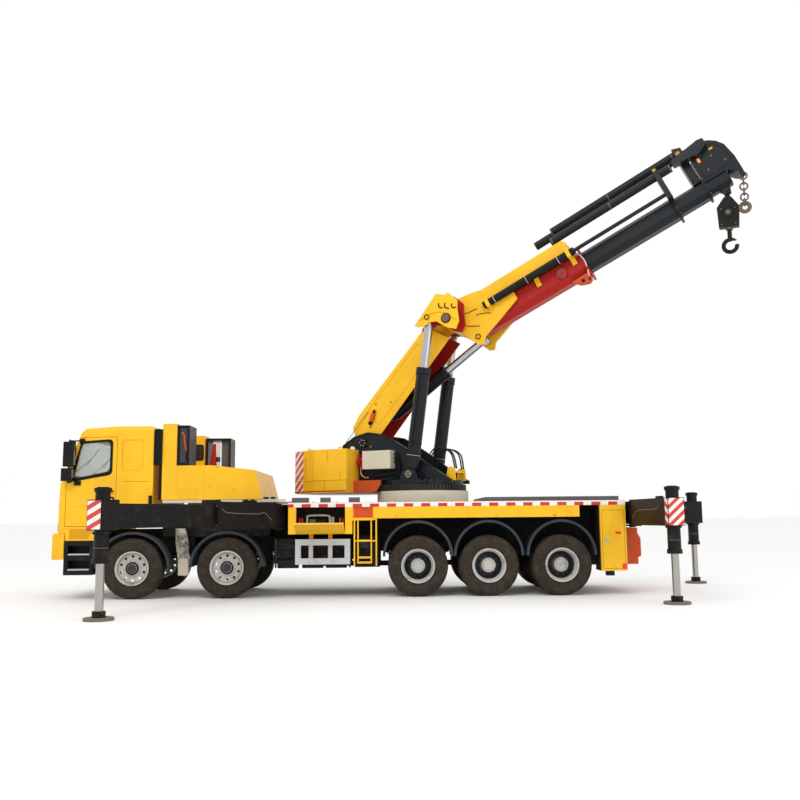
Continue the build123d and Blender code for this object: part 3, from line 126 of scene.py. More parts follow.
def screen_point(points):
    """World places of (left, out of the glass, height) rows on the leaning windscreen."""
    foot, head, foot_height, rise = -1.3, -0.985, 2.15, 0.85
    lean = (head - foot) / rise
    left, out, height = np.asarray(points, float).T
    return truck_point(np.stack([foot + (height - foot_height) * lean - out, left, height], 1))


def arm_point(swing, bearing, sign):
    """Places on an outrigger: out = swing + reach along the bearing, with left and height kept."""
    turn = math.radians(bearing)
    ahead = np.array([math.cos(turn), math.sin(turn), 0.0])
    left = np.array([-math.sin(turn), math.cos(turn), 0.0])
    root = np.array([swing[0], swing[1] * sign, 0.0])

    def place(points):
        reach, across, height = np.asarray(points, float).T
        flat = root + reach[:, None] * ahead + across[:, None] * left
        return flat + np.stack([0 * height, 0 * height, height], 1)

    return place


# Mesh makers. Each gives (vertices, faces) in local rows, which a place function carries into the world.


def strip_faces(rings, count):
    """Quads between rings of a closed grid, with both end rings filled."""
    faces = []
    for ring in range(rings - 1):
        low = ring * count + np.arange(count)
        high = low + count
        faces += np.stack([low, np.roll(low, -1), np.roll(high, -1), high], 1).tolist()
    faces.append(list(range(count))[::-1])
    faces.append(list(range((rings - 1) * count, rings * count)))
    return faces


def inset_loop(loop, amount):
    """Closed outline moved inwards: each corner slides along its mitre by amount / cos(half angle)."""
    before, after = np.roll(loop, 1, 0), np.roll(loop, -1, 0)
    first, second = loop - before, after - loop
    first /= np.linalg.norm(first, axis=1)[:, None]
    second /= np.linalg.norm(second, axis=1)[:, None]
    area = np.sum(loop[:, 0] * after[:, 1] - after[:, 0] * loop[:, 1])
    side = 1 if area > 0 else -1
    normal_one = side * np.stack([-first[:, 1], first[:, 0]], 1)
    normal_two = side * np.stack([-second[:, 1], second[:, 0]], 1)
    mitre = normal_one + normal_two
    return loop + mitre * (amount / np.maximum(1 + np.sum(normal_one * normal_two, 1), 0.3))[:, None]


def slab(outline, low, high, bevel, order=(0, 2, 1)):
    """Flat plate: an outline in two rows carried between two levels of the third, with bevelled rims."""
    loop = np.asarray(outline, float)
    inner = inset_loop(loop, bevel)
    levels = [(inner, low), (loop, low + bevel), (loop, high - bevel), (inner, high)]
    rows = np.concatenate([np.column_stack([ring, np.full(len(ring), level)]) for ring, level in levels])
    return rows[:, order], strip_faces(4, len(loop))


def box_form(first, last, bevel=0.006):
    """Block between two corners with bevelled edges, as a slab of its own rectangle."""
    (a, b, c), (d, e, f) = np.minimum(first, last), np.maximum(first, last)
    bevel = min(bevel, 0.3 * min(d - a, e - b, f - c))
    return slab([(a, c), (d, c), (d, f), (a, f)], b, e, bevel)


def bar(points, radius, sides=12):
    """Round bar: a circle carried along a path, its frame turned as little as the path allows."""
    path = np.asarray(points, float)
    step = np.gradient(path, axis=0)
    step /= np.linalg.norm(step, axis=1)[:, None]
    seed = np.array([0.0, 0.0, 1.0]) if abs(step[0][2]) < 0.9 else np.array([1.0, 0.0, 0.0])
    angles = np.linspace(0, 2 * math.pi, sides, endpoint=False)
    rings = []
    for place, way in zip(path, step):
        side = np.cross(way, seed)
        side /= np.linalg.norm(side)
        seed = np.cross(side, way)
        rings.append(place + radius * (np.cos(angles)[:, None] * side + np.sin(angles)[:, None] * seed))
    return np.concatenate(rings), strip_faces(len(path), sides)


def turned(profile, centre, segments=48):
    """Closed (left, r) loop turned about the left-right axis: x = centre + r cos t, z = centre + r sin t."""
    loop = np.asarray(profile, float)
    turn = np.linspace(0, 2 * math.pi, segments, endpoint=False)
    radius = loop[None, :, 1]
    rows = np.stack([centre[0] + radius * np.cos(turn)[:, None],
                     np.broadcast_to(loop[None, :, 0], (segments, len(loop))),
                     centre[1] + radius * np.sin(turn)[:, None]], 2).reshape(-1, 3)
    grid = np.arange(segments * len(loop)).reshape(segments, len(loop))
    across, along = np.roll(grid, -1, 1), np.roll(grid, -1, 0)
    both = np.roll(across, -1, 0)
    return rows, np.stack([grid, across, both, along], 2).reshape(-1, 4).tolist()


def rounded(outline, radius, steps=6):
    """Outline with eased corners: each is a quadratic curve between points a radius away along its edges."""
    loop = np.asarray(outline, float)
    share = np.linspace(0, 1, steps)[:, None]
    rows = []
    for before, corner, after in zip(np.roll(loop, 1, 0), loop, np.roll(loop, -1, 0)):
        first, last = (corner + (to - corner) * min(radius / np.linalg.norm(to - corner), 0.45)
                       for to in (before, after))
        rows.append((1 - share) ** 2 * first + 2 * share * (1 - share) * corner + share ** 2 * last)
    return np.concatenate(rows)


def ring_plate(outer, inner, low, high, order=(0, 2, 1)):
    """Flat frame between two outlines with as many points each, from one level to another."""
    count = len(outer)
    rows = np.concatenate([np.column_stack([loop, np.full(count, level)]) for loop, level in
                           ((inner, low), (outer, low), (outer, high), (inner, high))])
    grid = np.arange(4 * count).reshape(4, count)
    faces = [np.stack([one, np.roll(one, -1), np.roll(two, -1), two], 1).tolist()
             for one, two in zip(grid, np.roll(grid, -1, 0))]
    return rows[:, order], sum(faces, [])


def seam_ring(outline, radius, width, low, high):
    """Thin raised line round a rounded outline."""
    loop = rounded(outline, radius)
    return ring_plate(loop, inset_loop(loop, width), low, high)


def arch_band(station, half, foot, top, first, last):
    """Mudguard: (station + half cos t, foot + (top - foot) sin t) for t over half a turn.

    The section is a closed loop of (left, height above the arch) with a ribbed outer edge.
    """
    section = np.array([(first, 0), (last - 0.075, 0), (last - 0.075, 0.01), (last - 0.06, 0.01),
                        (last - 0.058, -0.002), (last - 0.03, -0.002), (last - 0.028, 0.012), (last, 0.012),
                        (last, -0.034), (last - 0.008, -0.034), (last - 0.008, -0.014), (first, -0.014)])
    turn = np.linspace(0, math.pi, 41)
    rise = section[:, 1][None, :]
    rows = np.stack([station + (half - 0.012 + rise) * np.cos(turn)[:, None],
                     np.broadcast_to(section[:, 0], (len(turn), len(section))),
                     foot + (top - 0.012 - foot + rise) * np.sin(turn)[:, None]], 2)
    return rows.reshape(-1, 3), strip_faces(len(turn), len(section))


def ring_bar(centre, first, second, radius, wire, sides=10, steps=28):
    """Closed round ring: centre + radius (first cos t + second sin t), with a round section."""
    turn = np.linspace(0, 2 * math.pi, steps, endpoint=False)
    first, second = np.asarray(first, float), np.asarray(second, float)
    out = np.cos(turn)[:, None] * first + np.sin(turn)[:, None] * second
    axis = np.cross(first, second)
    angle = np.linspace(0, 2 * math.pi, sides, endpoint=False)
    rows = (np.asarray(centre, float) + out[:, None, :] * (radius + wire * np.cos(angle))[None, :, None]
            + axis * (wire * np.sin(angle))[None, :, None])
    grid = np.arange(steps * sides).reshape(steps, sides)
    across, along = np.roll(grid, -1, 1), np.roll(grid, -1, 0)
    return rows.reshape(-1, 3), np.stack([grid, across, np.roll(across, -1, 0), along], 2).reshape(-1,
                                                                                                   4).tolist()


def curve(points, steps=24):
    """Smooth path through its points: cubic Hermite spans whose slopes are half the step past each point."""
    rows = np.asarray(points, float)
    slope = np.gradient(rows, axis=0)
    share = np.linspace(0, 1, max(steps // (len(rows) - 1), 4), endpoint=False)[:, None]
    weights = (2 * share ** 3 - 3 * share ** 2 + 1, share ** 3 - 2 * share ** 2 + share,
               3 * share ** 2 - 2 * share ** 3, share ** 3 - share ** 2)
    spans = [weights[0] * here + weights[1] * leaving + weights[2] * there + weights[3] * arriving
             for here, leaving, there, arriving in zip(rows, slope, rows[1:], slope[1:])]
    return np.concatenate(spans + [rows[-1:]])


def mirrored(place, sign):
    """The place function with left turned to right where the sign is negative."""
    return lambda rows: place(np.asarray(rows) * np.array([1, sign, 1]))


def studs(centre, axis, ring, count, size, length, start=0.0, sides=6):
    """Ring of bolt heads: prisms on a circle about an axis, each standing along it."""
    axis = np.asarray(axis, float) / np.linalg.norm(axis)
    seed = np.array([0.0, 0.0, 1.0]) if abs(axis[2]) < 0.9 else np.array([1.0, 0.0, 0.0])
    one = np.cross(axis, seed)
    one /= np.linalg.norm(one)
    two = np.cross(axis, one)
    rows, faces = [], []
    for turn in start + np.linspace(0, 2 * math.pi, count, endpoint=False):
        foot = np.asarray(centre, float) + ring * (math.cos(turn) * one + math.sin(turn) * two)
        head, head_faces = bar([foot, foot + axis * length * 0.8, foot + axis * length], size, sides)
        faces += [[index + len(rows) * len(head) for index in face] for face in head_faces]
        rows.append(head)
    return np.concatenate(rows), faces


def pierced_disc(left, radii, holes, centre, thick):
    """Wheel disc with round holes.

    Each sector is a grid from its hole's rim to its own four-sided edge, joined to its back at the rims.
    """
    count, ring, hole = holes
    steps = 32
    turn = np.linspace(0, 2 * math.pi, steps, endpoint=False)
    half = math.pi / count
    edge = []
    corner = [(radii[0], -half), (radii[1], -half), (radii[1], half), (radii[0], half)]
    for number in range(4):
        first, last = np.array(corner[number]), np.array(corner[(number + 1) % 4])
        share = np.linspace(0, 1, steps // 4, endpoint=False)[:, None]
        edge.append(first + (last - first) * share)
    edge = np.concatenate(edge)
    offset = math.atan2(-half * ring, radii[0] - ring)
    rim = np.stack([ring + hole * np.cos(turn + offset), hole * np.sin(turn + offset) / ring], 1)
    rows, faces = [], []
    for sector in range(count):
        base = len(rows) * 4 * steps
        loops = [(rim, left), (edge, left), (edge, left - thick), (rim, left - thick)]
        places = []
        for loop, level in loops:
            spin = loop[:, 1] + 2 * half * sector
            places.append(np.stack([centre[0] + loop[:, 0] * np.sin(spin), np.full(steps, level),
                                    centre[1] + loop[:, 0] * np.cos(spin)], 1))
        rows.append(np.concatenate(places))
        grid = np.arange(4 * steps).reshape(4, steps)
        for one, two in ((0, 1), (2, 3), (3, 0)):
            pair = np.stack([grid[one], np.roll(grid[one], -1), np.roll(grid[two], -1), grid[two]], 1)
            faces += (pair + base).tolist()
    return np.concatenate(rows), faces


class Build:
    """Gathers forms, carried by a place function, into one mesh whose object sits at the origin."""

    def __init__(self, name, place=np.asarray):
        self.name, self.place = name, place
        self.rows, self.faces, self.marks, self.finishes = [], [], [], []
        self.count = 0

    def add(self, form, finish):
        rows, faces = form
        if finish not in self.finishes:
            self.finishes.append(finish)
        self.rows.append(self.place(np.asarray(rows, float)))
        self.faces += [[index + self.count for index in face] for face in faces]
        self.marks += [self.finishes.index(finish)] * len(faces)
        self.count += len(rows)

    def finish(self, body, slot, smooth=35.0):
        mesh = bpy.data.meshes.new(self.name)
        mesh.from_pydata(np.concatenate(self.rows).tolist(), [], self.faces)
        for finish in self.finishes:
            mesh.materials.append(FINISH[finish])
        mesh.polygons.foreach_set("material_index", self.marks)
        work = bmesh.new()
        work.from_mesh(mesh)
        bmesh.ops.remove_doubles(work, verts=work.verts, dist=1e-5)
        bmesh.ops.recalc_face_normals(work, faces=work.faces)
        work.to_mesh(mesh)
        work.free()
        mesh.polygons.foreach_set("use_smooth", [True] * len(mesh.polygons))
        mesh.set_sharp_from_angle(angle=math.radians(smooth))
        piece = bpy.data.objects.new(self.name, mesh)
        bpy.context.scene.collection.objects.link(piece)
        if body:
            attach(piece, body)
        return piece


# Finishes


class Signal:
    """A number carried by a node socket, with the usual sums written as Python expressions."""

    def __init__(self, paint, socket):
        self.paint, self.socket = paint, socket

    def maths(self, operation, *others, clamp=False):
        values = {0: self}
        values.update({number: other for number, other in enumerate(others, 1)})
        return self.paint.node("ShaderNodeMath", {"operation": operation, "use_clamp": clamp},
                               values)["Value"]

    def __add__(self, other):
        return self.maths("ADD", other)

    def __sub__(self, other):
        return self.maths("SUBTRACT", other)

    def __rsub__(self, other):
        return self.maths("MULTIPLY", -1.0).maths("ADD", other)

    def __mul__(self, other):
        return self.maths("MULTIPLY", other)

    def __truediv__(self, other):
        return self.maths("DIVIDE", other)

    def __gt__(self, other):
        return self.maths("GREATER_THAN", other)

    def __lt__(self, other):
        return self.maths("LESS_THAN", other)

    def __abs__(self):
        return self.maths("ABSOLUTE")

    __radd__ = __add__
    __rmul__ = __mul__

    def least(self, other):
        return self.maths("MINIMUM", other)

    def most(self, other):
        return self.maths("MAXIMUM", other)

    def between(self, low, high):
        return (self > low) * (self < high)

    def ramp(self, low, high):
        """0 below low, 1 above high and a straight slope between."""
        return ((self - low) / (high - low)).maths("ADD", 0.0, clamp=True)


class Paint:
    """A material's node tree: one method makes any node, the rest name the patterns used on the crane."""

    def __init__(self, name):
        self.material = bpy.data.materials.new(name)
        self.material.use_nodes = True
        self.tree = self.material.node_tree
        self.tree.nodes.clear()
        self.out = self.tree.nodes.new("ShaderNodeOutputMaterial")
        self.place = self.node("ShaderNodeTexCoord", {}, {})["Object"]
        self.axes = self.node("ShaderNodeSeparateXYZ", {}, {0: self.place})

    def node(self, kind, settings, values):
        made = self.tree.nodes.new(kind)
        for key, value in settings.items():
            setattr(made, key, value)
        for key, value in values.items():
            socket = made.inputs[key]
            if isinstance(value, Signal):
                self.tree.links.new(value.socket, socket)
            else:
                socket.default_value = value
        return {out.name: Signal(self, out) for out in made.outputs if out.enabled}

    def noise(self, scale, detail=4.0, rough=0.55, stretch=None):
        place = self.place
        if stretch:
            place = self.node("ShaderNodeMapping", {}, {"Vector": place, "Scale": stretch})["Vector"]
        texture = self.node("ShaderNodeTexNoise", {}, {"Vector": place, "Scale": scale, "Detail": detail,
                                                       "Roughness": rough})
        return texture[next(name for name in texture if name in ("Fac", "Factor"))]

    def blend(self, factor, first, second):
        """Colour that goes from first to second with the factor."""
        mixed = self.node("ShaderNodeMix", {"data_type": "RGBA"}, {0: factor, 6: first, 7: second})
        return mixed["Result"]

    def bump(self, height, strength, distance):
        return self.node("ShaderNodeBump", {}, {"Height": height, "Strength": strength,
                                                "Distance": distance})["Normal"]

    def shader(self, colour, roughness, constants=None, **links):
        values = {"Base Color": colour, "Roughness": roughness}
        values.update(constants or {})
        values.update({key.replace("_", " "): value for key, value in links.items()})
        return self.node("ShaderNodeBsdfPrincipled", {}, values)["BSDF"]

    def mix(self, factor, first, second):
        return self.node("ShaderNodeMixShader", {}, {0: factor, 1: first, 2: second})["Shader"]

    def close(self, shader):
        self.tree.links.new(shader.socket, self.out.inputs["Surface"])
        return self.material


def colour(values):
    return (*values, 1.0)


def enamel(paint, tint, shine=0.3, dirt=0.5, coat=0.03):
    """Sprayed enamel: slight shade drift, grime that gathers low down, fine orange peel."""
    drift = paint.noise(1.3, 3.0)
    grime = paint.noise(6.0, 8.0, 0.7).ramp(0.52, 0.78)
    low = 1.0 - paint.axes["Z"].ramp(0.35, 1.9)
    dust = (grime * (low * 0.8 + 0.12)) * dirt
    base = paint.blend(drift.ramp(0.35, 0.7), colour(tint), colour([v * 0.86 for v in tint]))
    shade = paint.blend(dust, base, (0.16, 0.13, 0.1, 1.0))
    rough = dust * 0.45 + (drift * 0.08 + shine)
    peel = paint.noise(220.0, 2.0)
    gloss = 0.16 if max(tint) < 0.1 else 0.14
    return paint.shader(shade, rough, {"Coat Roughness": 0.08, "Specular IOR Level": gloss,
                                       "Coat Weight": coat}, Normal=paint.bump(peel, 0.06, 0.0015))


def steel(paint, tint, rough, metallic=0.9, stretch=(1, 1, 14)):
    """Bare or plated metal with fine darker streaks: real streaks on bare metal, painted reflection streaks
    on plated rods and mirror glass.
    """
    streaks_and_reflection = paint.noise(18.0, 5.0, 0.6, stretch)
    shade = paint.blend(streaks_and_reflection.ramp(0.35, 0.7), colour(tint), colour([v * 0.72 for v in tint]))
    return paint.shader(shade, streaks_and_reflection * 0.12 + rough, {"Metallic": metallic})


def rubber(paint):
    """Dusty tyre rubber: brown dust on the shoulders, fine grain."""
    dust = paint.noise(9.0, 7.0, 0.7).ramp(0.42, 0.8)
    grain = paint.noise(130.0, 3.0)
    shade = paint.blend(dust, (0.022, 0.017, 0.012, 1), (0.075, 0.052, 0.032, 1))
    return paint.shader(shade, dust * 0.15 + 0.72, {"Specular IOR Level": 0.25},
                        Normal=paint.bump(grain, 0.25, 0.002))


def glass(paint):
    """Greenish glass with faint smears, partly seen through."""
    smear = paint.noise(5.0, 4.0)
    return paint.shader((0.34, 0.4, 0.36, 1), smear * 0.05 + 0.03,
                        {"Alpha": 0.3, "Specular IOR Level": 0.8})


def crane_axes(paint):
    """(reach, left, height) of a point as numbers, from its place in the frame."""
    cos, sin = math.cos(SLEW_TURN), math.sin(SLEW_TURN)
    x = paint.axes["X"] - SLEW_X
    return x * -cos + paint.axes["Y"] * sin, x * sin + paint.axes["Y"] * cos, paint.axes["Z"]


def boom_axes(paint, pivot, lean):
    """(along, left, above) of a point on a boom."""
    reach, left, height = crane_axes(paint)
    reach, height = reach - pivot[0], height - pivot[1]
    return (reach * math.cos(lean) + height * math.sin(lean), left,
            height * math.cos(lean) - reach * math.sin(lean))


YELLOW, RED, BLACK = (0.94, 0.52, 0.022), (0.42, 0.018, 0.014), (0.008, 0.0075, 0.007)
WHITE, CREAM, SILVER = (0.8, 0.79, 0.76), (0.66, 0.6, 0.46), (0.52, 0.5, 0.47)
# The booms' black is tinted blue: a painted sky sheen over the black enamel
PAINTED_SHEEN_BLACK, GREY, GUARD_GREY = (0.011, 0.014, 0.017), (0.12, 0.125, 0.13), (0.52, 0.54, 0.55)
TRUCK_RED, SLATE, POST_ORANGE = (0.62, 0.085, 0.018), (0.035, 0.042, 0.052), (0.85, 0.26, 0.02)
STRIPE_RED, TAPE_RED = (0.62, 0.02, 0.015), (0.55, 0.015, 0.02)


def finished(name, make, *values):
    """Material of that name, whose surface the function makes from the values."""
    paint = Paint(name)
    return paint.close(make(paint, *values))


def dark_pane(paint):
    """Nearly black glass with faint smears."""
    return paint.shader((0.022, 0.026, 0.028, 1), paint.noise(4.0) * 0.1 + 0.05,
                        {"Specular IOR Level": 0.5})


def caked_panel(paint):
    """Pale panel under dark caked dirt."""
    cake = paint.noise(9.0, 9.0, 0.75).ramp(0.42, 0.62)
    shade = paint.blend(cake, (0.5, 0.47, 0.38, 1), (0.1, 0.085, 0.065, 1))
    return paint.shader(shade, paint.noise(5.0) * 0.2 + 0.6, {"Specular IOR Level": 0.2})


def lens(paint, tint, painted_glow):
    """Ribbed lamp lens with a painted glow: it emits light though no lamp in it is lit."""
    ribs = (paint.axes["Z"] * 90.0).maths("SINE")
    return paint.shader(colour(tint), 0.15, {"Emission Strength": painted_glow}, Coat_Weight=0.6,
                        Emission_Color=colour(tint), Normal=paint.bump(ribs, 0.3, 0.002))


def warning_stripes(paint, tilt, width):
    """Slanting stripes: (height + tilt * distance along) divided by the width, odd bands red."""
    along = paint.axes["X"] * tilt[0] + paint.axes["Y"] * tilt[1] + paint.axes["Z"]
    band = (along / width).maths("FRACT") > 0.5
    shade = paint.blend(band, colour(WHITE), colour(STRIPE_RED))
    grime = paint.noise(14.0, 6.0, 0.7).ramp(0.55, 0.85) * 0.35
    return paint.shader(paint.blend(grime, shade, (0.25, 0.21, 0.17, 1)), 0.4, Coat_Weight=0.2)


def deck_tape(paint):
    """Reflective tape along the deck: red blocks at a pitch, below a white upper edge."""
    pitch, white_share, red_top = 0.31, 0.46, 1.672
    block = (paint.axes["X"] / pitch).maths("FRACT") > white_share
    shade = paint.blend((paint.axes["Z"] < red_top) * block, colour(WHITE), colour(TAPE_RED))
    grime = paint.noise(11.0, 6.0, 0.7).ramp(0.5, 0.85) * 0.4
    return paint.shader(paint.blend(grime, shade, (0.3, 0.26, 0.22, 1)), 0.42)


def main_boom_enamel(paint):
    """Yellow outside, red inside the open channel and under the head's covers, black at the foot pin."""
    along, left, above = boom_axes(paint, MAIN_PIVOT, MAIN_LEAN)
    side = abs(left)
    channel_half, wall, cheeks, head_start, pin_side, pin_end = 0.298, 0.012, (0.402,
                                                                               0.752), 2.45, 0.45, 0.12
    # The boom's upper edge is the lowest of three lines, and the covers' edge is a fourth: slope, then rise
    back, middle, front, cover = (along * slope + rise for slope, rise in
                                  ((0.1786, 0.456), (-0.0237, 0.5228), (-0.3267, 1.262), (0.0441, 0.317)))
    channel = (side < channel_half) * (above < back.least(middle).least(front) - wall)
    head = side.between(*cheeks) * (above < cover) * (along > head_start)
    painted = paint.mix(channel.most(head), enamel(paint, YELLOW), enamel(paint, RED, 0.35))
    return paint.mix((side > pin_side) * (along < pin_end), painted, enamel(paint, PAINTED_SHEEN_BLACK, 0.34, 0.4))


def turntable_enamel(paint):
    """Black plates with a cream valve box on the left."""
    reach, left, height = crane_axes(paint)
    box = reach.between(-0.96, -0.355) * left.between(0.502, 0.745) * height.between(2.34, 2.71)
    return paint.mix(box, enamel(paint, PAINTED_SHEEN_BLACK, 0.34, 0.4), enamel(paint, CREAM, 0.4, 0.3))


def slew_ring(paint):
    """Pale ring bed below, dark greased gear above."""
    gear_foot = 1.916
    return paint.mix(paint.axes["Z"] > gear_foot, enamel(paint, CREAM, 0.55, 0.8, 0.0),
                     steel(paint, (0.06, 0.055, 0.05), 0.5))


def jack_foot(paint):
    """Dusty foot plate, black ball block and plated rod, told apart by height."""
    height, plate_top, block_top = paint.axes["Z"], 0.0425, 0.1305
    plate = steel(paint, (0.21, 0.18, 0.14), 0.62, 0.35)
    low = paint.mix(height > plate_top, plate, enamel(paint, BLACK, 0.5))
    return paint.mix(height > block_top, low, steel(paint, (0.46, 0.44, 0.41), 0.2, 1.0))


def door(paint):
    """Yellow skin with a glass pane; the mirrors and their frame outside it are black."""
    side, height, skin_face = abs(paint.axes["Y"]), paint.axes["Z"], 1.2315
    pane = side.between(1.203, 1.2132) * height.between(2.16, 2.85) * paint.axes["X"].between(5.355, 6.015)
    skin = paint.mix(side > skin_face, enamel(paint, YELLOW), enamel(paint, BLACK, 0.38, 0.3, 0.0))
    return paint.mix(pane, skin, glass(paint))


def deck(paint):
    """Yellow sides, grey tread on the top, dark undersides and orange ladder posts."""
    height, side = paint.axes["Z"], abs(paint.axes["Y"])
    top, ceiling, inner_side = 1.6985, 1.699, 1.185
    under = (side < inner_side) * (height < ceiling)
    tread = enamel(paint, GREY, 0.55, 1.0, 0.0)
    inner = paint.mix(under, enamel(paint, YELLOW), enamel(paint, (0.03, 0.024, 0.019), 0.6, 0.6, 0.0))
    post = side.between(1.08, 1.165) * (height < 1.131) * paint.axes["X"].between(1.25, 1.76)
    return paint.mix(height > top, paint.mix(post, inner, enamel(paint, POST_ORANGE)), tread)


def side_guard(paint):
    """Light grey guard frames on orange posts."""
    post_face = 1.2035
    return paint.mix(abs(paint.axes["Y"]) < post_face, enamel(paint, GUARD_GREY, 0.42, 0.5),
                     enamel(paint, POST_ORANGE))


# Each finish: the material's name, then what its maker takes after the paint
ENAMELS = {
    "yellow": ("yellow_enamel", YELLOW),
    "red": ("red_enamel", RED, 0.33),
    "orange": ("orange_enamel", TRUCK_RED, 0.35),
    "black": ("black_enamel", BLACK, 0.36, 0.5, 0.0),
    "boom_black": ("boom_enamel", PAINTED_SHEEN_BLACK, 0.3, 0.2, 0.04),
    "chassis": ("chassis_paint", (0.012, 0.010, 0.009), 0.6, 0.6, 0.0),
    "slate": ("mudguard_plastic", SLATE, 0.5, 0.7, 0.0),
    "grey": ("grey_enamel", GREY, 0.5, 0.6, 0.05),
    "light_grey": ("guard_enamel", GUARD_GREY, 0.42, 0.5),
    "cream": ("cream_enamel", CREAM, 0.55, 0.9, 0.0),
    "silver": ("wheel_silver", SILVER, 0.4, 1.3, 0.0),
    "seam": ("panel_seam", (0.20, 0.085, 0.008), 0.6, 0.3, 0.0),
    # A darker copy of the yellow: painted shade in recesses and along pressed lines
    "shade": ("recess_enamel", (0.72, 0.33, 0.012), 0.45, 0.5, 0.0),
    "hose": ("hose_rubber", (0.010, 0.010, 0.010), 0.55, 0.2, 0.0),
    "plastic": ("cab_plastic", (0.035, 0.036, 0.038), 0.6, 0.0, 0.0),
    "white": ("white_enamel", WHITE, 0.4, 0.4),
}
METALS = {
    "chrome": ("rod_chrome", (0.52, 0.52, 0.53), 0.16, 1.0),
    "iron": ("rusty_iron", (0.17, 0.13, 0.09), 0.55, 0.6),
    "brass": ("fitting_brass", (0.62, 0.42, 0.14), 0.3, 0.9),
    "mirror": ("mirror_glass", (0.7, 0.72, 0.74), 0.04, 1.0),
}
# Lenses and reflectors: tint, then the strength of a painted glow, as no lamp in them is lit
LENSES = {
    "lens": ("clear_lens", (0.75, 0.76, 0.74), 0.1),
    "red_lens": ("red_lens", (0.6, 0.015, 0.01), 0.5),
    "amber_lens": ("amber_lens", (0.8, 0.22, 0.02), 0.4),
}
# Finishes with a maker of their own: material's name, maker and its values
PATTERNS = {
    "rubber": ("tyre_rubber", rubber),
    "glass": ("cab_glass_finish", glass),
    "pane": ("dark_pane", dark_pane),
    "grime_panel": ("caked_panel", caked_panel),
    "tape": ("deck_tape", deck_tape),
    "weight_stripe": ("weight_stripe", warning_stripes, (0.0, -1.1), 0.16),
    "jack_stripe": ("jack_stripe", warning_stripes, (0.85, 0.6), 0.15),
    "main_boom": ("main_boom_enamel", main_boom_enamel),
    "turntable": ("turntable_enamel", turntable_enamel),
    "slew_ring": ("slew_ring_finish", slew_ring),
    "foot": ("jack_foot_finish", jack_foot),
    "door": ("door_finish", door),
    "deck": ("deck_finish", deck),
    "guard": ("side_guard_finish", side_guard),
}
# Frame pieces by finish. Other booms and the lift barrels are the booms' black, and the rest is plain black.
NODE_FINISHES = {
    "yellow": ("bumper", "cab_shell", "power_housing", "counterweight", "second_boom", "toolbox_door"),
    "chassis": ("frame_rails", "front_axles", "rear_axles", "engine"),
    "orange": ("tail_frame", "turntable_skirt"),
    "chrome": ("lift_rods", "fold_rod"),
    "foot": ("front_foot_left", "front_foot_right", "rear_foot_left", "rear_foot_right"),
    "door": ("door_left", "door_right"),
    "red": ("boom_case",), "iron": ("tip_chain",), "slate": ("fenders",), "grey": ("deck_plates",),
    "plastic": ("cab_interior",), "glass": ("cab_glass",), "guard": ("side_guards",), "deck": ("deck",),
    "main_boom": ("main_boom",), "turntable": ("turntable",), "slew_ring": ("slew_ring",),
}
FINISH = {}


def mix_finishes():
    """Every finish by name, then the one that each frame piece takes."""
    for make, table in ((enamel, ENAMELS), (steel, METALS), (lens, LENSES)):
        for finish, (name, *values) in table.items():
            FINISH[finish] = finished(name, make, *values)
    for finish, (name, make, *values) in PATTERNS.items():
        FINISH[finish] = finished(name, make, *values)
    chosen = {node: finish for finish, nodes in NODE_FINISHES.items() for node in nodes}
    for name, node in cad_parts.items():
        dark = "boom_black" if "boom" in name or "lift" in name else "black"
        node.data.materials.clear()
        node.data.materials.append(FINISH[chosen.get(name, dark)])


# Pieces


def tyre_casing(centre_y, centre):
    """Tyre casing, turned from its outer half's (left, radius) points and their mirror image."""
    section = [(0.12, 0.29), (0.126, 0.318), (0.134, 0.33), (0.131, 0.338), (0.143, 0.365), (0.1485, 0.405),
               (0.1455, 0.409), (0.1495, 0.44), (0.148, 0.472), (0.144, 0.478), (0.14, 0.505),
               (0.128, 0.524), (0.112, 0.531), (0.06, 0.533), (0.0, 0.534)]
    loop = [(centre_y + y, r) for y, r in section] + [(centre_y - y, r) for y, r in reversed(section[:-1])]
    return turned(loop, centre, 80)


def tyre_tread(centre_y, centre):
    """Four rings of tread blocks: corners at radius r, half a block each way plus the edge's lean."""
    count, foot, shoulder, shoulder_drop = 60, 0.526, TYRE_WIDTH / 2 - 0.03, 0.007
    half_block = 0.36 * 2 * math.pi / count
    block = np.array([(0, 1, 3, 2), (4, 6, 7, 5), (0, 2, 6, 4), (1, 5, 7, 3), (2, 3, 7, 6), (0, 4, 5, 1)])
    rows = []
    for ring, (low, high, slant) in enumerate(((-0.128, -0.083, 0.25), (-0.073, -0.006, -0.2),
                                               (0.006, 0.073, 0.2), (0.083, 0.128, -0.25))):
        turn = np.linspace(0, 2 * math.pi, count, endpoint=False) + (ring % 2) * math.pi / count
        y, lean = np.repeat((low, high), 4), np.repeat((-slant, slant), 4)
        crown = TYRE_RADIUS - 0.0005 - np.where(abs(y) > shoulder, shoulder_drop, 0.0)
        radius = np.where(np.tile((1, 1, 0, 0), 2), foot, crown)
        angle = turn[:, None] + np.tile((-1, 1), 4) * half_block + lean * 0.05
        rows.append(np.stack([centre[0] + radius * np.cos(angle),
                              np.broadcast_to(centre_y + y, angle.shape),
                              centre[1] + radius * np.sin(angle)], 2).reshape(-1, 3))
    base = 8 * np.arange(len(rows) * count)
    return np.concatenate(rows), (base[:, None, None] + block).reshape(-1, 4).tolist()


def rim_loop(centre):
    """Closed section of a rim: flange, seat, well, seat and flange, about 12 mm thick."""
    outer = [(-0.145, 0.306), (-0.137, 0.3065), (-0.132, 0.289), (-0.085, 0.286), (-0.05, 0.262),
             (0.05, 0.262), (0.085, 0.286), (0.132, 0.289), (0.137, 0.3065), (0.145, 0.306)]
    inner = [(0.1448, 0.296), (0.138, 0.277), (0.088, 0.272), (0.052, 0.248), (-0.052, 0.248),
             (-0.088, 0.272), (-0.138, 0.277), (-0.1448, 0.296)]
    return [(centre + y, r) for y, r in outer + inner]


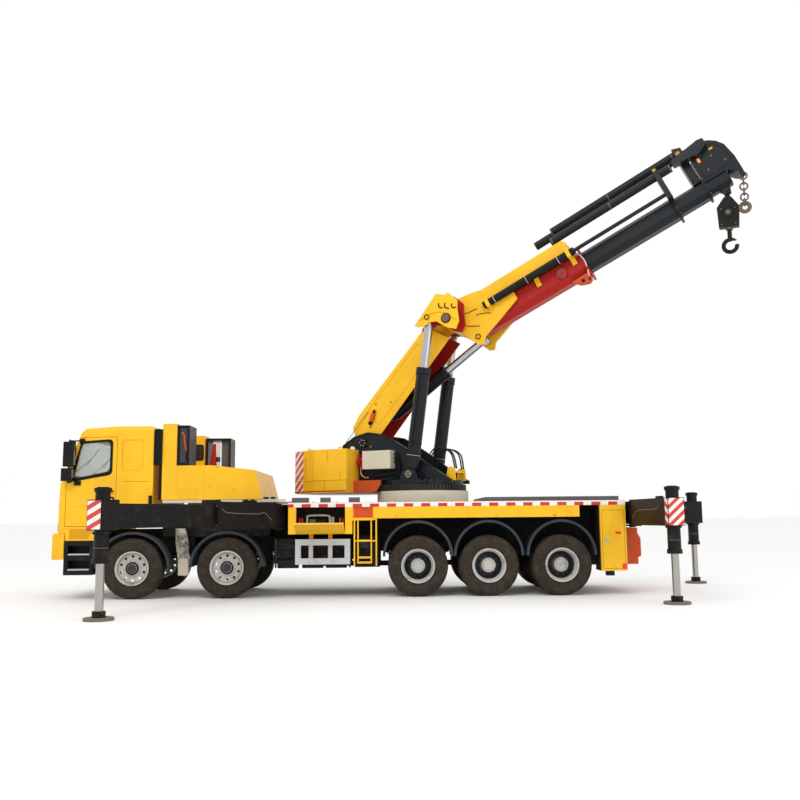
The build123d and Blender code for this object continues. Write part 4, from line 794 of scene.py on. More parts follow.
def front_disc(put, centre):
    """Pierced disc, hub, grease ring, cap and nuts of a steered wheel, from (left, radius) sections."""
    put(pierced_disc(1.15, (0.15, 0.256), (10, 0.214, 0.025), centre, 0.014), "silver")
    put(turned([(0.99, 0.05), (0.99, 0.175), (1.115, 0.178), (1.136, 0.155), (1.158, 0.152), (1.163, 0.128),
                (1.176, 0.12), (1.18, 0.088), (1.192, 0.084), (1.199, 0.06), (1.203, 0.0005),
                (1.0, 0.0005)], centre, 48), "silver")
    put(turned([(1.16, 0.122), (1.182, 0.117), (1.185, 0.086), (1.16, 0.086)], centre, 40), "chassis")
    put(turned([(1.165, 0.086), (1.1995, 0.079), (1.2045, 0.058), (1.2045, 0.0005), (1.165, 0.0005)],
               centre, 40), "slate")
    for left, ring, size, length in ((1.158, 0.136, 0.0125, 0.026), (1.148, 0.168, 0.007, 0.01)):
        put(studs((centre[0], left, centre[1]), ACROSS, ring, 10, size, length), "silver")


def twin_disc(put, centre):
    """Dish between the twin tyres, hub, nuts and cap screws, from (left, radius) sections."""
    meet = sum(TWIN_YS) / 2
    put(turned([(meet - 0.012, 0.1), (meet - 0.012, 0.212), (meet + 0.06, 0.24), (meet + 0.078, 0.249),
                (meet + 0.084, 0.247), (meet + 0.066, 0.229), (meet + 0.004, 0.205), (meet + 0.004, 0.1)],
               centre, 56), "slate")
    put(turned([(0.66, 0.07), (0.66, 0.19), (meet - 0.02, 0.19), (meet - 0.02, 0.15), (1.085, 0.122),
                (1.098, 0.128), (1.13, 0.128), (1.139, 0.118), (1.146, 0.0005), (0.9, 0.0005)], centre, 48),
        "silver")
    put(studs((centre[0], meet + 0.002, centre[1]), ACROSS, 0.172, 10, 0.0135, 0.045), "iron")
    put(studs((centre[0], 1.14, centre[1]), ACROSS, 0.1, 12, 0.0075, 0.009), "slate")


def wheel(number, side, centre):
    """One wheel, or a pair of twins: tyres, and rims with their disc, about (x, height)."""
    place = mirrored(np.asarray, SIDES[side])
    tyre, rim = Build(f"tyre_{number}_{side}", place), Build(f"rim_{number}_{side}", place)
    steered = number < 3
    for y in (FRONT_TYRE_Y,) if steered else TWIN_YS:
        tyre.add(tyre_casing(y, centre), "rubber")
        tyre.add(tyre_tread(y, centre), "rubber")
        rim.add(turned(rim_loop(y), centre, 64), "silver")
    disc = front_disc if steered else twin_disc
    disc(rim.add, centre)
    name = f"wheel_{number}_{side}"
    piece = tyre.finish(name, "tyre", 30)
    rim.finish(name, "tyre", 30)
    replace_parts(piece, name)


class CRANE_OT_wheels(bpy.types.Operator):
    """Tyres with tread, rims, discs, nuts and hubs in place of the plain wheels"""

    bl_idname = "crane.wheels"
    bl_label = "Wheels"

    def execute(self, context):
        for number, station in enumerate(AXLE_STATIONS, 1):
            for side in SIDES:
                wheel(number, side, (x_at(station), AXLE_HEIGHT))
        return {"FINISHED"}


class CRANE_OT_paint(bpy.types.Operator):
    """Paints every frame piece with its own finish"""

    bl_idname = "crane.paint"
    bl_label = "Paint"

    def execute(self, context):
        mix_finishes()
        return {"FINISHED"}


def weight_face(sign):
    """Places on a slanted counterweight face from (reach, out of the face, height above its foot) rows."""

    def place(rows):
        reach, out, height = rows.T
        left = sign * (0.76 + (reach + 2.45) * 0.29 / 0.6 + out + 0.0005)
        return crane_point(np.stack([reach, left, height + 1.93], 1))

    return place


class CRANE_OT_warning_stripes(bpy.types.Operator):
    """Striped plates on the outriggers and the counterweight, and the tape along the deck"""

    bl_idname = "crane.warning_stripes"
    bl_label = "Warning stripes"

    def execute(self, context):
        jack_half = 0.15
        for side, sign in SIDES.items():
            front = Build(f"front_stripe_{side}", arm_point(FRONT_SWING, sign * FRONT_BEARING, sign))
            end = FRONT_REACH + jack_half
            front.add(box_form((end - 0.001, -0.14, 1.285), (end + 0.003, 0.14, 1.695), 0.001),
                      "jack_stripe")
            front.finish(f"front_inner_{side}", "white_paint")
            rear = Build(f"rear_stripe_{side}", arm_point(REAR_SWING, REAR_BEARINGS[side], sign))
            end, edge = REAR_REACH + jack_half, -sign * 0.138
            rear.add(box_form((end - 0.001, -0.128, 1.255), (end + 0.003, 0.128, 1.69), 0.001),
                     "jack_stripe")
            rear.add(box_form((end - 0.135, edge - 0.002, 1.262), (end - 0.01, edge + 0.002, 1.69), 0.0008),
                     "jack_stripe")
            rear.finish(f"rear_beam_{side}", "white_paint")
            band = Build(f"deck_tape_{side}", truck_point)
            band.add(box_form((DECK_FRONT + 0.002, sign * (DECK_HALF - 0.001), 1.612),
                              (DECK_REAR - 0.002, sign * (DECK_HALF + 0.003), 1.694), 0.001), "tape")
            band.finish("chassis", "white_paint")
        stripes = Build("weight_stripes")
        for sign in SIDES.values():
            stripes.place = weight_face(sign)
            stripes.add(slab([(-2.4505, -0.025), (-2.19, -0.025), (-2.19, 0.805), (-2.4505, 0.805)], 0,
                             0.003, 0.001), "weight_stripe")
        stripes.finish("turntable", "white_paint")
        return {"FINISHED"}


class CRANE_OT_cab_fittings(bpy.types.Operator):
    """Gaskets, mirrors' glass, grille, wipers, lamps, step treads and seams of the cab"""

    bl_idname = "crane.cab_fittings"
    bl_label = "Cab fittings"

    def execute(self, context):
        window = [(-1.1, 2.17), (-0.96, 2.805), (-0.45, 2.84), (-0.45, 2.3)]
        surround = [(-1.188, 2.1), (-0.978, 2.85), (-0.402, 2.886), (-0.402, 2.236)]
        lines = Build("cab_lines")
        for side, sign in SIDES.items():
            lines.place = mirrored(truck_point, sign)
            door = Build(f"door_trim_{side}", lines.place)
            door.add(ring_plate(rounded(surround, 0.085), rounded(window, 0.07), 1.2292, 1.2335), "black")
            door.add(box_form((-1.085, 1.222, 2.045), (-0.965, 1.264, 2.128), 0.01), "black")
            door.add(box_form((-1.0, 1.222, 2.8), (-0.915, 1.29, 2.895), 0.012), "black")
            # Plate behind the door handle: painted shade of its recess
            door.add(box_form((-0.475, 1.2285, 1.87), (-0.365, 1.2335, 1.955), 0.002), "shade")
            door.add(box_form((-0.47, 1.231, 1.925), (-0.37, 1.252, 1.948), 0.005), "black")
            door.add(seam_ring([(-1.13, 1.36), (-1.13, 1.66), (-0.42, 1.72), (-0.42, 1.36)], 0.05, 0.005,
                               1.229, 1.2308), "shade")
            for station, low, high in ((-1.0505, 2.405, 2.805), (-1.0755, 2.145, 2.325)):
                door.add(box_form((station, 1.318, low), (station + 0.004, 1.412, high), 0.001), "mirror")
            door.finish(f"door_{side}", "black_paint")
            lines.add(box_form((-0.195, 1.229, 2.106), (0.275, 1.2308, 2.112), 0.0004), "seam")
            lines.add(seam_ring([(-0.235, 2.305), (-0.235, 2.875), (0.155, 2.875), (0.155, 2.305)], 0.07,
                                0.006, 1.229, 1.2308), "shade")
            lines.add(slab([(-1.438, 0.735), (-1.438, 1.15), (-1.415, 1.183), (-1.228, 1.183),
                            (-1.228, 0.76), (-1.4, 0.718)], 1.205, 1.229, 0.006), "yellow")
            lines.add(box_form((0.275, 1.226, 1.69), (0.335, 1.262, 1.85), 0.008), "black")
            # Darker panel in the sill's recess: painted shade
            lines.add(slab(rounded([(-1.14, 1.085), (-1.14, 1.262), (-0.7, 1.262), (-0.8, 1.085)], 0.03),
                           1.229, 1.2325, 0.001), "shade")
            for height in (0.522, 0.792):
                lines.add(box_form((-1.148, 1.01, height), (-0.762, 1.238, height + 0.026), 0.005),
                          "light_grey")
                for ridge in np.linspace(1.05, 1.22, 5):
                    lines.add(box_form((-1.13, ridge, height + 0.0255),
                                       (-0.78, ridge + 0.012, height + 0.031), 0.002), "grey")
            lines.add(arch_band(0.0, 0.676, 0.56, 1.2, 0.905, 1.232), "slate")
            lines.add(box_form((-1.428, 0.78, 1.215), (-1.392, 1.04, 1.352), 0.012), "black")
            for y in (0.845, 0.965):
                lines.add(bar([(-1.405, y, 1.283), (-1.434, y, 1.283)], 0.05, 20), "lens")
        lines.place = screen_point
        frame_edge = rounded([(-1.055, 2.165), (-1.055, 2.972), (1.055, 2.972), (1.055, 2.165)], 0.07)
        glass_edge = rounded([(-1.0, 2.245), (-1.0, 2.905), (1.0, 2.905), (1.0, 2.245)], 0.07)
        lines.add(ring_plate(frame_edge, glass_edge, -0.01, 0.004), "black")
        for root, tip in ((-0.12, -0.82), (0.82, 0.14)):
            lines.add(bar([(root, 0.012, 2.2), (root, 0.026, 2.24), (tip, 0.02, 2.62)], 0.009, 8), "black")
            lines.add(bar([(tip + 0.16, 0.012, 2.46), (tip - 0.14, 0.012, 2.8)], 0.011, 8), "hose")
        lines.place = truck_point
        lines.add(box_form((-1.405, -0.72, 1.3), (-1.372, 0.72, 1.94), 0.004), "black")
        for height in np.linspace(1.345, 1.885, 7):
            lines.add(box_form((-1.418 + (height - 1.345) * 0.055, -0.7, height),
                               (-1.37, 0.7, height + 0.042), 0.006), "grey")
        lines.finish("chassis", "black_paint")
        duct = Build("duct_ribs", truck_point)
        for height in np.linspace(2.445, 3.005, 15):
            duct.add(box_form((0.344, 1.03, height), (0.4975, 1.2435, height + 0.017), 0.004), "hose")
        duct.add(seam_ring([(0.346, 2.405), (0.346, 3.066), (0.4975, 3.066), (0.4975, 2.405)], 0.05, 0.022,
                           1.2, 1.249), "black")
        duct.finish("chassis", "black_paint")
        return {"FINISHED"}


class CRANE_OT_housing_fittings(bpy.types.Operator):
    """Panes, levers, seams and strips of the machinery housing behind the cab"""

    bl_idname = "crane.housing_fittings"
    bl_label = "Housing fittings"

    def execute(self, context):
        build = Build("housing_fittings", truck_point)
        put = build.add
        put(box_form((0.801, 1.18, 2.444), (0.944, 1.188, 3.084), 0.002), "pane")
        put(bar(curve([(0.835, 1.196, 2.99), (0.875, 1.198, 2.97), (0.9, 1.198, 2.8),
                       (0.925, 1.198, 2.66)]), 0.016), "orange")
        put(bar(curve([(0.925, 1.2, 2.66), (0.93, 1.202, 2.52), (0.94, 1.2, 2.45)]), 0.01), "hose")
        put(ring_plate(rounded([(0.6, 2.6), (0.6, 2.93), (0.855, 2.93), (0.855, 2.6)], 0.05),
                       rounded([(0.625, 2.625), (0.625, 2.905), (0.83, 2.905), (0.83, 2.625)], 0.04),
                       -0.641, -0.63), "black")
        put(box_form((0.62, -0.641, 2.62), (0.835, -0.634, 2.91), 0.001), "pane")
        put(slab(rounded([(0.955, 2.45), (0.965, 2.62), (1.03, 2.96), (1.075, 2.96), (1.085, 2.45)], 0.02),
                 -0.79, -0.74, 0.006), "red")
        put(bar([(1.125, -0.78, 2.45), (1.125, -0.78, 2.97)], 0.04, 20), "white")
        put(bar([(1.125, -0.78, 2.58), (1.125, -0.78, 2.68)], 0.043, 20), "pane")
        put(box_form((1.185, -0.84, 2.44), (1.346, -0.79, 3.012), 0.006), "grey")
        for station in (0.782, 1.262):
            put(box_form((station, 1.224, 1.785), (station + 0.004, 1.2258, 2.39), 0.0004), "shade")
        put(seam_ring([(0.83, 1.79), (0.83, 1.965), (1.15, 1.965), (1.15, 1.79)], 0.012, 0.005, 1.224,
                      1.2262), "shade")
        for station, height in ((1.36, 1.99), (1.8, 1.93), (1.5, 2.34)):
            put(box_form((station, 1.224, height), (station + 0.022, 1.231, height + 0.034), 0.003),
                "shade")
        strip = [(0.52, 1.712), (0.52, 1.768), (2.76, 1.768), (2.76, 1.712)]
        for low, high in ((1.196, 1.212), (-1.2, -1.188)):
            put(slab(strip, low, high, 0.004), "cream")
        for station in (2.36, 2.48):
            put(box_form((station, 1.0, 1.768), (station + 0.07, 1.19, 1.81), 0.008), "black")
        put(box_form((2.33, 1.192, 1.775), (2.36, 1.212, 1.8), 0.003), "red_lens")
        for y in np.linspace(-1.0, 1.0, 9):
            station = 0.56 + 0.02 * math.cos(7 * y)
            put(bar([(station, y, 2.38), (station, y, 2.404)], 0.012, 6), "grey")
        build.finish("chassis", "black_paint")
        return {"FINISHED"}


class CRANE_OT_mudguards(bpy.types.Operator):
    """Rounded mudguards and brackets, the caked panel between the front wheels, and boxes under the frame"""

    bl_idname = "crane.mudguards"
    bl_label = "Mudguards"

    def execute(self, context):
        build = Build("mudguards")
        for sign in SIDES.values():
            build.place = mirrored(truck_point, sign)
            build.add(arch_band(AXLE_STATIONS[1], 0.672, 0.56, 1.2, 0.905, 1.245), "slate")
            build.add(bar([(AXLE_STATIONS[1], 0.41, 1.06), (AXLE_STATIONS[1], 0.93, 1.192)], 0.02), "black")
            for station in AXLE_STATIONS[2:]:
                build.add(arch_band(station, 0.636, 0.72, 1.36, 0.6, 1.247), "slate")
                for y in (0.7, 1.1):
                    build.add(bar([(station, y, 1.345), (station, y, 1.666)], 0.018), "black")
            panel = [(0.7, 1.25), (0.705, 0.98), (0.745, 0.74), (0.755, 0.56), (0.8, 0.4), (0.9, 0.385),
                     (0.965, 0.42), (0.985, 0.72), (0.955, 0.8), (0.945, 1.02), (0.88, 1.25)]
            build.add(slab(panel, 0.9, 0.93, 0.006), "grime_panel")
            build.add(box_form((0.765, 0.928, 0.4), (0.945, 0.938, 0.7), 0.003), "cream")
            build.add(bar([(0.83, 0.41, 0.98), (0.83, 0.91, 0.98)], 0.02), "black")
            for height in (0.74, 0.78, 1.05):
                build.add(bar([(0.8, 0.928, height), (0.8, 0.938, height)], 0.012, 6), "iron")
        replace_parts(build.finish("chassis", "black_paint"), "fenders")
        under = Build("underframe_boxes", truck_point)
        under.add(box_form((0.42, -0.78, 1.086), (2.42, 0.78, 1.33), 0.02), "chassis")
        for sign in SIDES.values():
            under.place = mirrored(truck_point, sign)
            under.add(box_form((0.69, 0.45, 0.56), (1.02, 0.76, 1.09), 0.02), "chassis")
            under.add(box_form((2.52, 0.47, 0.6), (3.94, 0.98, 1.06), 0.02), "chassis")
            under.add(box_form((4.0, 0.47, 0.52), (4.46, 0.92, 1.1), 0.02), "chassis")
            for station in (2.6, 3.05, 3.48):
                under.add(bar([(station, 1.02, 0.6), (station + 0.38, 1.02, 0.6)], 0.085, 20), "chassis")
            under.add(box_form((4.1, 0.915, 0.86), (4.26, 0.95, 1.02), 0.01), "slate")
            for station in (2.545, 3.22, 3.9):
                under.add(box_form((station, 0.975, 0.52), (station + 0.03, 1.03, 1.05), 0.004), "slate")
            for height in (0.72, 0.88):
                under.add(box_form((2.53, 0.9785, height), (3.93, 0.992, height + 0.014), 0.003), "slate")
        under.finish("chassis", "black_paint")
        return {"FINISHED"}


class CRANE_OT_deck_fittings(bpy.types.Operator):
    """Toolbox bays' contents, recess above the ladders, beam seams, tail panels, lamps and reflectors"""

    bl_idname = "crane.deck_fittings"
    bl_label = "Deck fittings"

    def execute(self, context):
        build = Build("deck_fittings")
        put = build.add
        for sign in SIDES.values():
            build.place = mirrored(truck_point, sign)
            put(bar(curve([(3.13, 1.0, 1.162), (3.13, 1.0, 1.4), (3.17, 1.0, 1.462), (3.5, 1.0, 1.462),
                           (3.545, 1.0, 1.4), (3.545, 1.0, 1.162)], 50), 0.02), "light_grey")
            put(box_form((3.17, 0.86, 1.162), (3.29, 1.02, 1.4), 0.012), "grey")
            put(box_form((3.31, 0.86, 1.162), (3.5, 0.98, 1.41), 0.012), "black")
            put(bar([(3.6, 0.98, 1.16), (3.6, 0.98, 1.44)], 0.034, 16), "silver")
            for station in (2.995, 3.045, 3.735, 3.785):
                put(bar([(station, 1.12, 1.19), (station + 0.008, 1.14, 1.36)], 0.01, 8), "silver")
                put(bar([(station + 0.008, 1.14, 1.35), (station + 0.012, 1.146, 1.42)], 0.017, 10), "red"
                    if station < 3.4 else "orange")
            for station in (2.97, 3.71):
                put(box_form((station, 1.05, 1.162), (station + 0.11, 1.17, 1.22), 0.008), "iron")
            put(bar(curve([(3.8, 1.16, 1.42), (3.76, 1.2, 1.32), (3.7, 1.19, 1.2)]), 0.009), "hose")
            put(box_form((3.992, 1.2195, 1.42), (4.338, 1.2225, 1.606), 0.001), "orange")
            for station in (5.18, 6.08, 6.98, 7.88):
                put(box_form((station, 1.2492, 1.41), (station + 0.004, 1.2508, 1.61), 0.0004), "shade")
            for station, finish in ((4.75, "amber_lens"), (6.55, "amber_lens"), (7.62, "red_lens")):
                put(box_form((station, 1.2492, 1.425), (station + 0.055, 1.254, 1.447), 0.001), finish)
            put(box_form((8.692, 1.228, 1.199), (8.938, 1.25, 1.664), 0.002), "yellow")
            put(seam_ring([(8.5, 0.47), (8.5, 1.52), (8.91, 1.52), (8.91, 0.47)], 0.02, 0.006, 1.2492,
                          1.2512), "seam")
            put(box_form((8.535, 1.249, 0.95), (8.6, 1.257, 1.015), 0.003), "silver")
            put(box_form((8.74, 1.249, 1.085), (8.84, 1.2535, 1.13), 0.001), "red_lens")
            put(box_form((8.845, 1.249, 0.46), (8.93, 1.26, 0.56), 0.006), "red_lens")
            put(box_form((8.6, 0.95, 0.335), (8.74, 1.1, 0.432), 0.012), "black")
            put(box_form((8.939, 0.82, 0.56), (8.958, 1.22, 0.72), 0.006), "black")
            for low, high, finish in ((0.83, 0.95, "lens"), (0.955, 1.08, "amber_lens"),
                                      (1.085, 1.21, "red_lens")):
                put(box_form((8.955, low, 0.575), (8.968, high, 0.705), 0.004), finish)
            for station in np.arange(2.84, 8.9, 0.42):
                put(studs((station, 1.215, 1.6995), UP, 0.0, 1, 0.013, 0.012), "iron")
        build.finish("chassis", "black_paint")
        return {"FINISHED"}


class CRANE_OT_outrigger_fittings(bpy.types.Operator):
    """Hoses, valve caps and bands on the outriggers"""

    bl_idname = "crane.outrigger_fittings"
    bl_label = "Outrigger fittings"

    def execute(self, context):
        for side, sign in SIDES.items():
            place = mirrored(arm_point(FRONT_SWING, sign * FRONT_BEARING, sign), sign)
            outer = Build(f"front_beam_fittings_{side}", place)
            outer.add(bar(curve([(0.42, 0.172, 1.4), (0.62, 0.178, 1.52), (0.8, 0.178, 1.5),
                                 (1.55, 0.174, 1.52), (1.72, 0.172, 1.6)]), 0.009), "grey")
            for reach in (0.66, 0.84):
                outer.add(box_form((reach, -0.05, 1.7), (reach + 0.12, 0.05, 1.74), 0.01), "black")
                outer.add(bar([(reach + 0.06, 0.0, 1.735), (reach + 0.06, 0.0, 1.758)], 0.03, 14), "hose")
            outer.add(studs((1.812, 0, 1.475), ALONG, 0.222, 4, 0.014, 0.014, math.pi / 4), "iron")
            outer.finish(f"front_beam_{side}", "black_paint")
            inner = Build(f"front_jack_fittings_{side}", place)
            inner.add(bar([(FRONT_REACH, 0, 1.878), (FRONT_REACH, 0, 1.892)], 0.085, 24), "hose")
            for turn in (0.6, 2.4, 4.1):
                inner.add(bar([(FRONT_REACH + 0.1 * math.cos(turn), 0.1 * math.sin(turn), 1.74),
                               (FRONT_REACH + 0.14 * math.cos(turn), 0.14 * math.sin(turn), 1.74),
                               (FRONT_REACH + 0.15 * math.cos(turn), 0.15 * math.sin(turn), 1.69)], 0.016,
                              8), "hose")
            inner.add(ring_bar((FRONT_REACH, 0, 1.02), ALONG, ACROSS, 0.1065, 0.006), "iron")
            inner.finish(f"front_inner_{side}", "black_paint")
            place = mirrored(arm_point(REAR_SWING, REAR_BEARINGS[side], sign), sign)
            rear = Build(f"rear_beam_fittings_{side}", place)
            rear.add(bar([(REAR_REACH, 0, 1.878), (REAR_REACH, 0, 1.892)], 0.085, 24), "hose")
            rear.add(ring_bar((REAR_REACH, 0, 1.02), ALONG, ACROSS, 0.1065, 0.006), "iron")
            for across in (0.143, -0.143):
                rear.add(bar(curve([(0.42, across, 1.36), (0.7, across, 1.5), (1.55, across, 1.52),
                                    (1.74, across, 1.58)]), 0.009), "grey")
            rear.add(box_form((1.3, -0.04, 1.698), (1.46, 0.05, 1.74), 0.01), "black")
            rear.finish(f"rear_beam_{side}", "black_paint")
        return {"FINISHED"}


class CRANE_OT_turntable_fittings(bpy.types.Operator):
    """Bolts, valve, hoses, brackets and lamp on the turntable, and the counterweight's ridges and eyes"""

    bl_idname = "crane.turntable_fittings"
    bl_label = "Turntable fittings"

    def execute(self, context):
        build = Build("turntable_fittings", crane_point)
        put = build.add
        put(studs((0, 0, 2.11), UP, 0.745, 40, 0.014, 0.02), "iron")
        put(box_form((-1.165, 0.499, 2.4), (-0.985, 0.6, 2.585), 0.014), "red")
        put(bar([(-1.12, 0.55, 2.58), (-1.12, 0.55, 2.66)], 0.03, 14), "red")
        put(bar([(-1.03, 0.56, 2.58), (-1.03, 0.56, 2.63)], 0.022, 14), "silver")
        put(box_form((-1.15, 0.6, 2.46), (-1.06, 0.645, 2.52), 0.008), "red")
        put(bar([(-1.19, 0.52, 2.47), (-1.28, 0.52, 2.47)], 0.018, 10), "iron")
        put(bar([(-1.19, 0.52, 2.56), (-1.28, 0.52, 2.56)], 0.014, 10), "silver")
        put(bar(curve([(-1.07, 0.57, 2.4), (-1.06, 0.585, 2.27), (-0.98, 0.6, 2.2), (-0.88, 0.6, 2.19)]),
                0.016), "brass")
        put(bar([(-1.27, 0.498, 2.775), (-1.27, 0.56, 2.775)], 0.042, 18), "lens")
        for reach, height in ((-0.98, 2.865), (-0.88, 2.8)):
            put(bar([(reach, 0.498, height), (reach, 0.52, height)], 0.026, 10), "iron")
        for reach, rise in ((-0.34, 2.64), (-0.33, 2.56), (-0.32, 2.48)):
            put(bar(curve([(reach - 0.03, 0.56, rise), (reach + 0.06, 0.56, rise - 0.05),
                           (reach + 0.07, 0.56, rise - 0.2), (reach - 0.05, 0.56, rise - 0.32),
                           (-0.8, 0.56, rise - 0.36)], 40), 0.017, 10), "hose")
        for left in (-0.3, 0.26):
            put(slab([(0.6, 2.112), (0.8, 2.112), (0.79, 2.32), (0.72, 2.38), (0.64, 2.34)], left,
                     left + 0.03, 0.004), "yellow")
        put(box_form((0.68, -0.3, 2.26), (0.76, 0.28, 2.3), 0.008), "yellow")
        for left in (-0.36, -0.22, 0.12, 0.24):
            put(bar(curve([(0.1, left, 2.3), (0.34, left, 2.72), (0.66, left * 0.9, 2.66),
                           (0.76, left * 0.8, 2.34)], 36), 0.015, 8), "hose")
        for sign in SIDES.values():
            put(bar([(0.04, sign * 0.776, 2.23), (0.04, sign * 0.796, 2.23)], 0.075, 24), "iron")
            put(studs((0.04, sign * 0.794, 2.23), (0, sign, 0), 0.052, 4, 0.01, 0.01), "silver")
            edge = [(-1.69, 2.56), (-1.5, 2.86), (-1.25, 3.02), (-0.95, 3.09), (-0.6, 3.03), (-0.15, 2.76),
                    (0.36, 2.4)]
            put(bar([(reach, sign * 0.503, height - 0.03) for reach, height in edge], 0.01, 8), "hose")
            ridge = [(-1.148, sign * 1.053, 2.15), (-1.85, sign * 1.053, 2.15),
                     (-2.452, sign * 0.763, 2.15), (-2.558, sign * 0.41, 2.15)]
            put(bar(ridge, 0.01, 8), "yellow")
            put(bar([(reach, left, 1.935) for reach, left, _ in ridge], 0.012, 8), "orange")
            for reach, left, low, high in ((-2.12, 0.925, 2.17, 2.6), (-1.28, 1.0515, 2.16, 2.3),
                                           (-1.62, 1.0515, 1.93, 2.14), (-1.55, 1.0515, 2.5, 2.7)):
                put(bar([(reach, sign * left, low), (reach, sign * left, high)], 0.007, 8), "shade")
            for reach, left in ((-1.4, 0.8), (-2.2, 0.62)):
                put(ring_bar((reach, sign * left, 2.755), ALONG, UP, 0.045, 0.011), "yellow")
        build.finish("turntable", "black_paint")
        return {"FINISHED"}


def main_boom_fittings():
    """Pin caps, raised lines, beacon, lifting rings and marks of the main boom."""
    main = Build("main_boom_fittings", main_point)
    put = main.add
    for sign in SIDES.values():
        put(seam_ring([(0.42, 0.04), (0.52, 0.42), (2.2, 0.4), (2.24, 0.02)], 0.04, 0.01, sign * 0.309,
                      sign * 0.313), "shade")
        put(bar([(0, sign * 0.528, 0), (0, sign * 0.548, 0)], 0.084, 28), "black")
        put(studs((0, sign * 0.545, 0), (0, sign, 0), 0.058, 6, 0.011, 0.012), "silver")
        put(bar([(2.96, sign * 0.8, 0), (2.96, sign * 0.822, 0)], 0.074, 28), "iron")
        put(ring_bar((2.96, sign * 0.803, 0), ALONG, UP, 0.088, 0.01), "hose")
        put(ring_bar((LIFT_EYE[0], sign * 0.806, LIFT_EYE[1]), ALONG, UP, 0.046, 0.009), "hose")
        put(studs((LIFT_EYE[0], sign * 0.803, LIFT_EYE[1]), (0, sign, 0), 0.024, 3, 0.008, 0.01), "iron")
        put(bar(curve([(2.6, sign * 0.793, 0.43), (2.86, sign * 0.794, 0.3), (3.02, sign * 0.794, 0.1),
                       (3.05, sign * 0.793, -0.2)]), 0.007, 8), "shade")
        for points in ([(3.1, 0.3), (3.05, 0.25), (3.07, 0.18)], [(3.18, 0.2), (3.11, 0.15), (3.14, 0.06)],
                       [(3.24, 0.08), (3.19, 0.02), (3.24, -0.04)]):
            put(bar(curve([(along, sign * 0.8, above) for along, above in points]), 0.011, 8), "hose")
    for along, above, size in ((0.3, 0.16, 0.016), (0.45, 0.26, 0.013), (0.72, 0.36, 0.014),
                               (0.95, 0.12, 0.012)):
        put(bar([(along, 0.309, above), (along, 0.322, above)], size, 8), "hose")
    put(box_form((0.32, 0.309, 0.17), (0.4, 0.345, 0.25), 0.01), "hose")
    put(bar([(0.4, 0.352, 0.21), (0.56, 0.352, 0.27)], 0.044, 18), "orange")
    put(bar([(0.56, 0.352, 0.27), (0.62, 0.352, 0.292)], 0.028, 14), "hose")
    for left in (0.3, -0.3):
        put(ring_bar((3.16, left, 0.475), ALONG, UP, 0.045, 0.008), "yellow")
    main.finish("main_boom", "yellow_paint")


def second_boom_fittings():
    """Seams, pipe clamps, pins, orange lugs, a pipe and lifting rings of the second boom."""
    second = Build("second_boom_fittings", fold_point)
    put = second.add
    for sign in SIDES.values():
        for points in ([(0.06, 0.2), (0.14, 0.1), (0.3, 0.03), (0.52, 0.0)],
                       [(0.12, -0.14), (0.26, -0.24), (0.42, -0.33)],
                       [(0.45, -0.1), (0.62, -0.16), (0.72, -0.22)]):
            put(bar(curve([(along, sign * 0.351, above) for along, above in points]), 0.01, 8), "seam")
        put(ring_bar((0.3, sign * 0.366, -0.5), ALONG, UP, 0.046, 0.009), "hose")
        put(studs((0.3, sign * 0.362, -0.5), (0, sign, 0), 0.024, 3, 0.008, 0.01), "iron")
        for along in (0.62, 1.12):
            put(box_form((along, sign * 0.349, -0.2 + along * 0.05), (along + 0.012, sign * 0.354, 0.0),
                         0.001), "shade")
    for along in (0.92, 1.62, 2.3):
        put(ring_bar((along, 0.424, -0.045), ACROSS, UP, 0.073, 0.007), "silver")
    put(ring_bar((2.23, 0.338, -0.268), ALONG, UP, 0.078, 0.01), "iron")
    put(studs((2.23, 0.339, -0.268), ACROSS, 0.045, 6, 0.01, 0.01), "iron")
    for left in (0.1, 0.17):
        put(slab(rounded([(2.3, -0.47), (2.655, -0.455), (2.655, -0.62), (2.58, -0.66), (2.42, -0.6)],
                         0.02), left, left + 0.02, 0.004), "orange")
    put(bar([(2.5, 0.08, -0.56), (2.5, 0.22, -0.56)], 0.03, 14), "hose")
    put(bar([(2.62, 0.06, -0.6), (2.62, 0.25, -0.6)], 0.018, 12), "hose")
    put(bar(curve([(2.56, 0.31, 0.05), (2.66, 0.312, -0.1), (2.7, 0.312, -0.3), (2.64, 0.24, -0.55)]),
            0.009, 8), "white")
    for along in (0.66, 1.02):
        put(ring_bar((along, 0.12, 0.325 if along > 0.7 else 0.335), ALONG, UP, 0.05, 0.008), "yellow")
    second.finish("second_boom", "yellow_paint")


def section_1_fittings():
    """Cylinder bands and flange bolts of the first drawn section."""
    section = Build("section_1_fittings", fold_point)
    put = section.add
    for along in (2.345, 3.55, 4.755):
        put(bar([(along, 0.25, 0.4), (along + 0.025, 0.25, 0.4)], 0.0735, 24), "iron")
    for above in (-0.42, -0.3, -0.17, -0.05):
        put(bar([(4.538, 0.25, above), (4.552, 0.25, above)], 0.013, 6), "iron")
        put(bar([(4.538, -0.25, above), (4.552, -0.25, above)], 0.013, 6), "iron")
    put(box_form((4.485, 0.4, 0.42), (4.545, 0.486, 0.47), 0.006), "shade")
    section.finish("boom_section_1", "black_paint")


def section_2_fittings():
    """Cylinder bands, a hose, a mark and flange bolts of the second drawn section."""
    section = Build("section_2_fittings", fold_point)
    put = section.add
    for left in (0.02, -0.16):
        for along in (2.4, 3.6, 4.9):
            put(bar([(along, left, 0.655), (along + 0.025, left, 0.655)], 0.0835, 24), "iron")
    put(bar(curve([(4.98, 0.02, 0.6), (5.02, 0.06, 0.4), (5.0, 0.1, 0.1), (4.97, 0.13, -0.02)]), 0.012, 8),
        "hose")
    put(box_form((4.985, 0.1195, 0.6), (5.06, 0.124, 0.66), 0.001), "shade")
    for above in (-0.39, -0.24, -0.09):
        put(bar([(5.128, 0.222, above), (5.142, 0.222, above)], 0.012, 6), "iron")
    section.finish("boom_section_2", "black_paint")


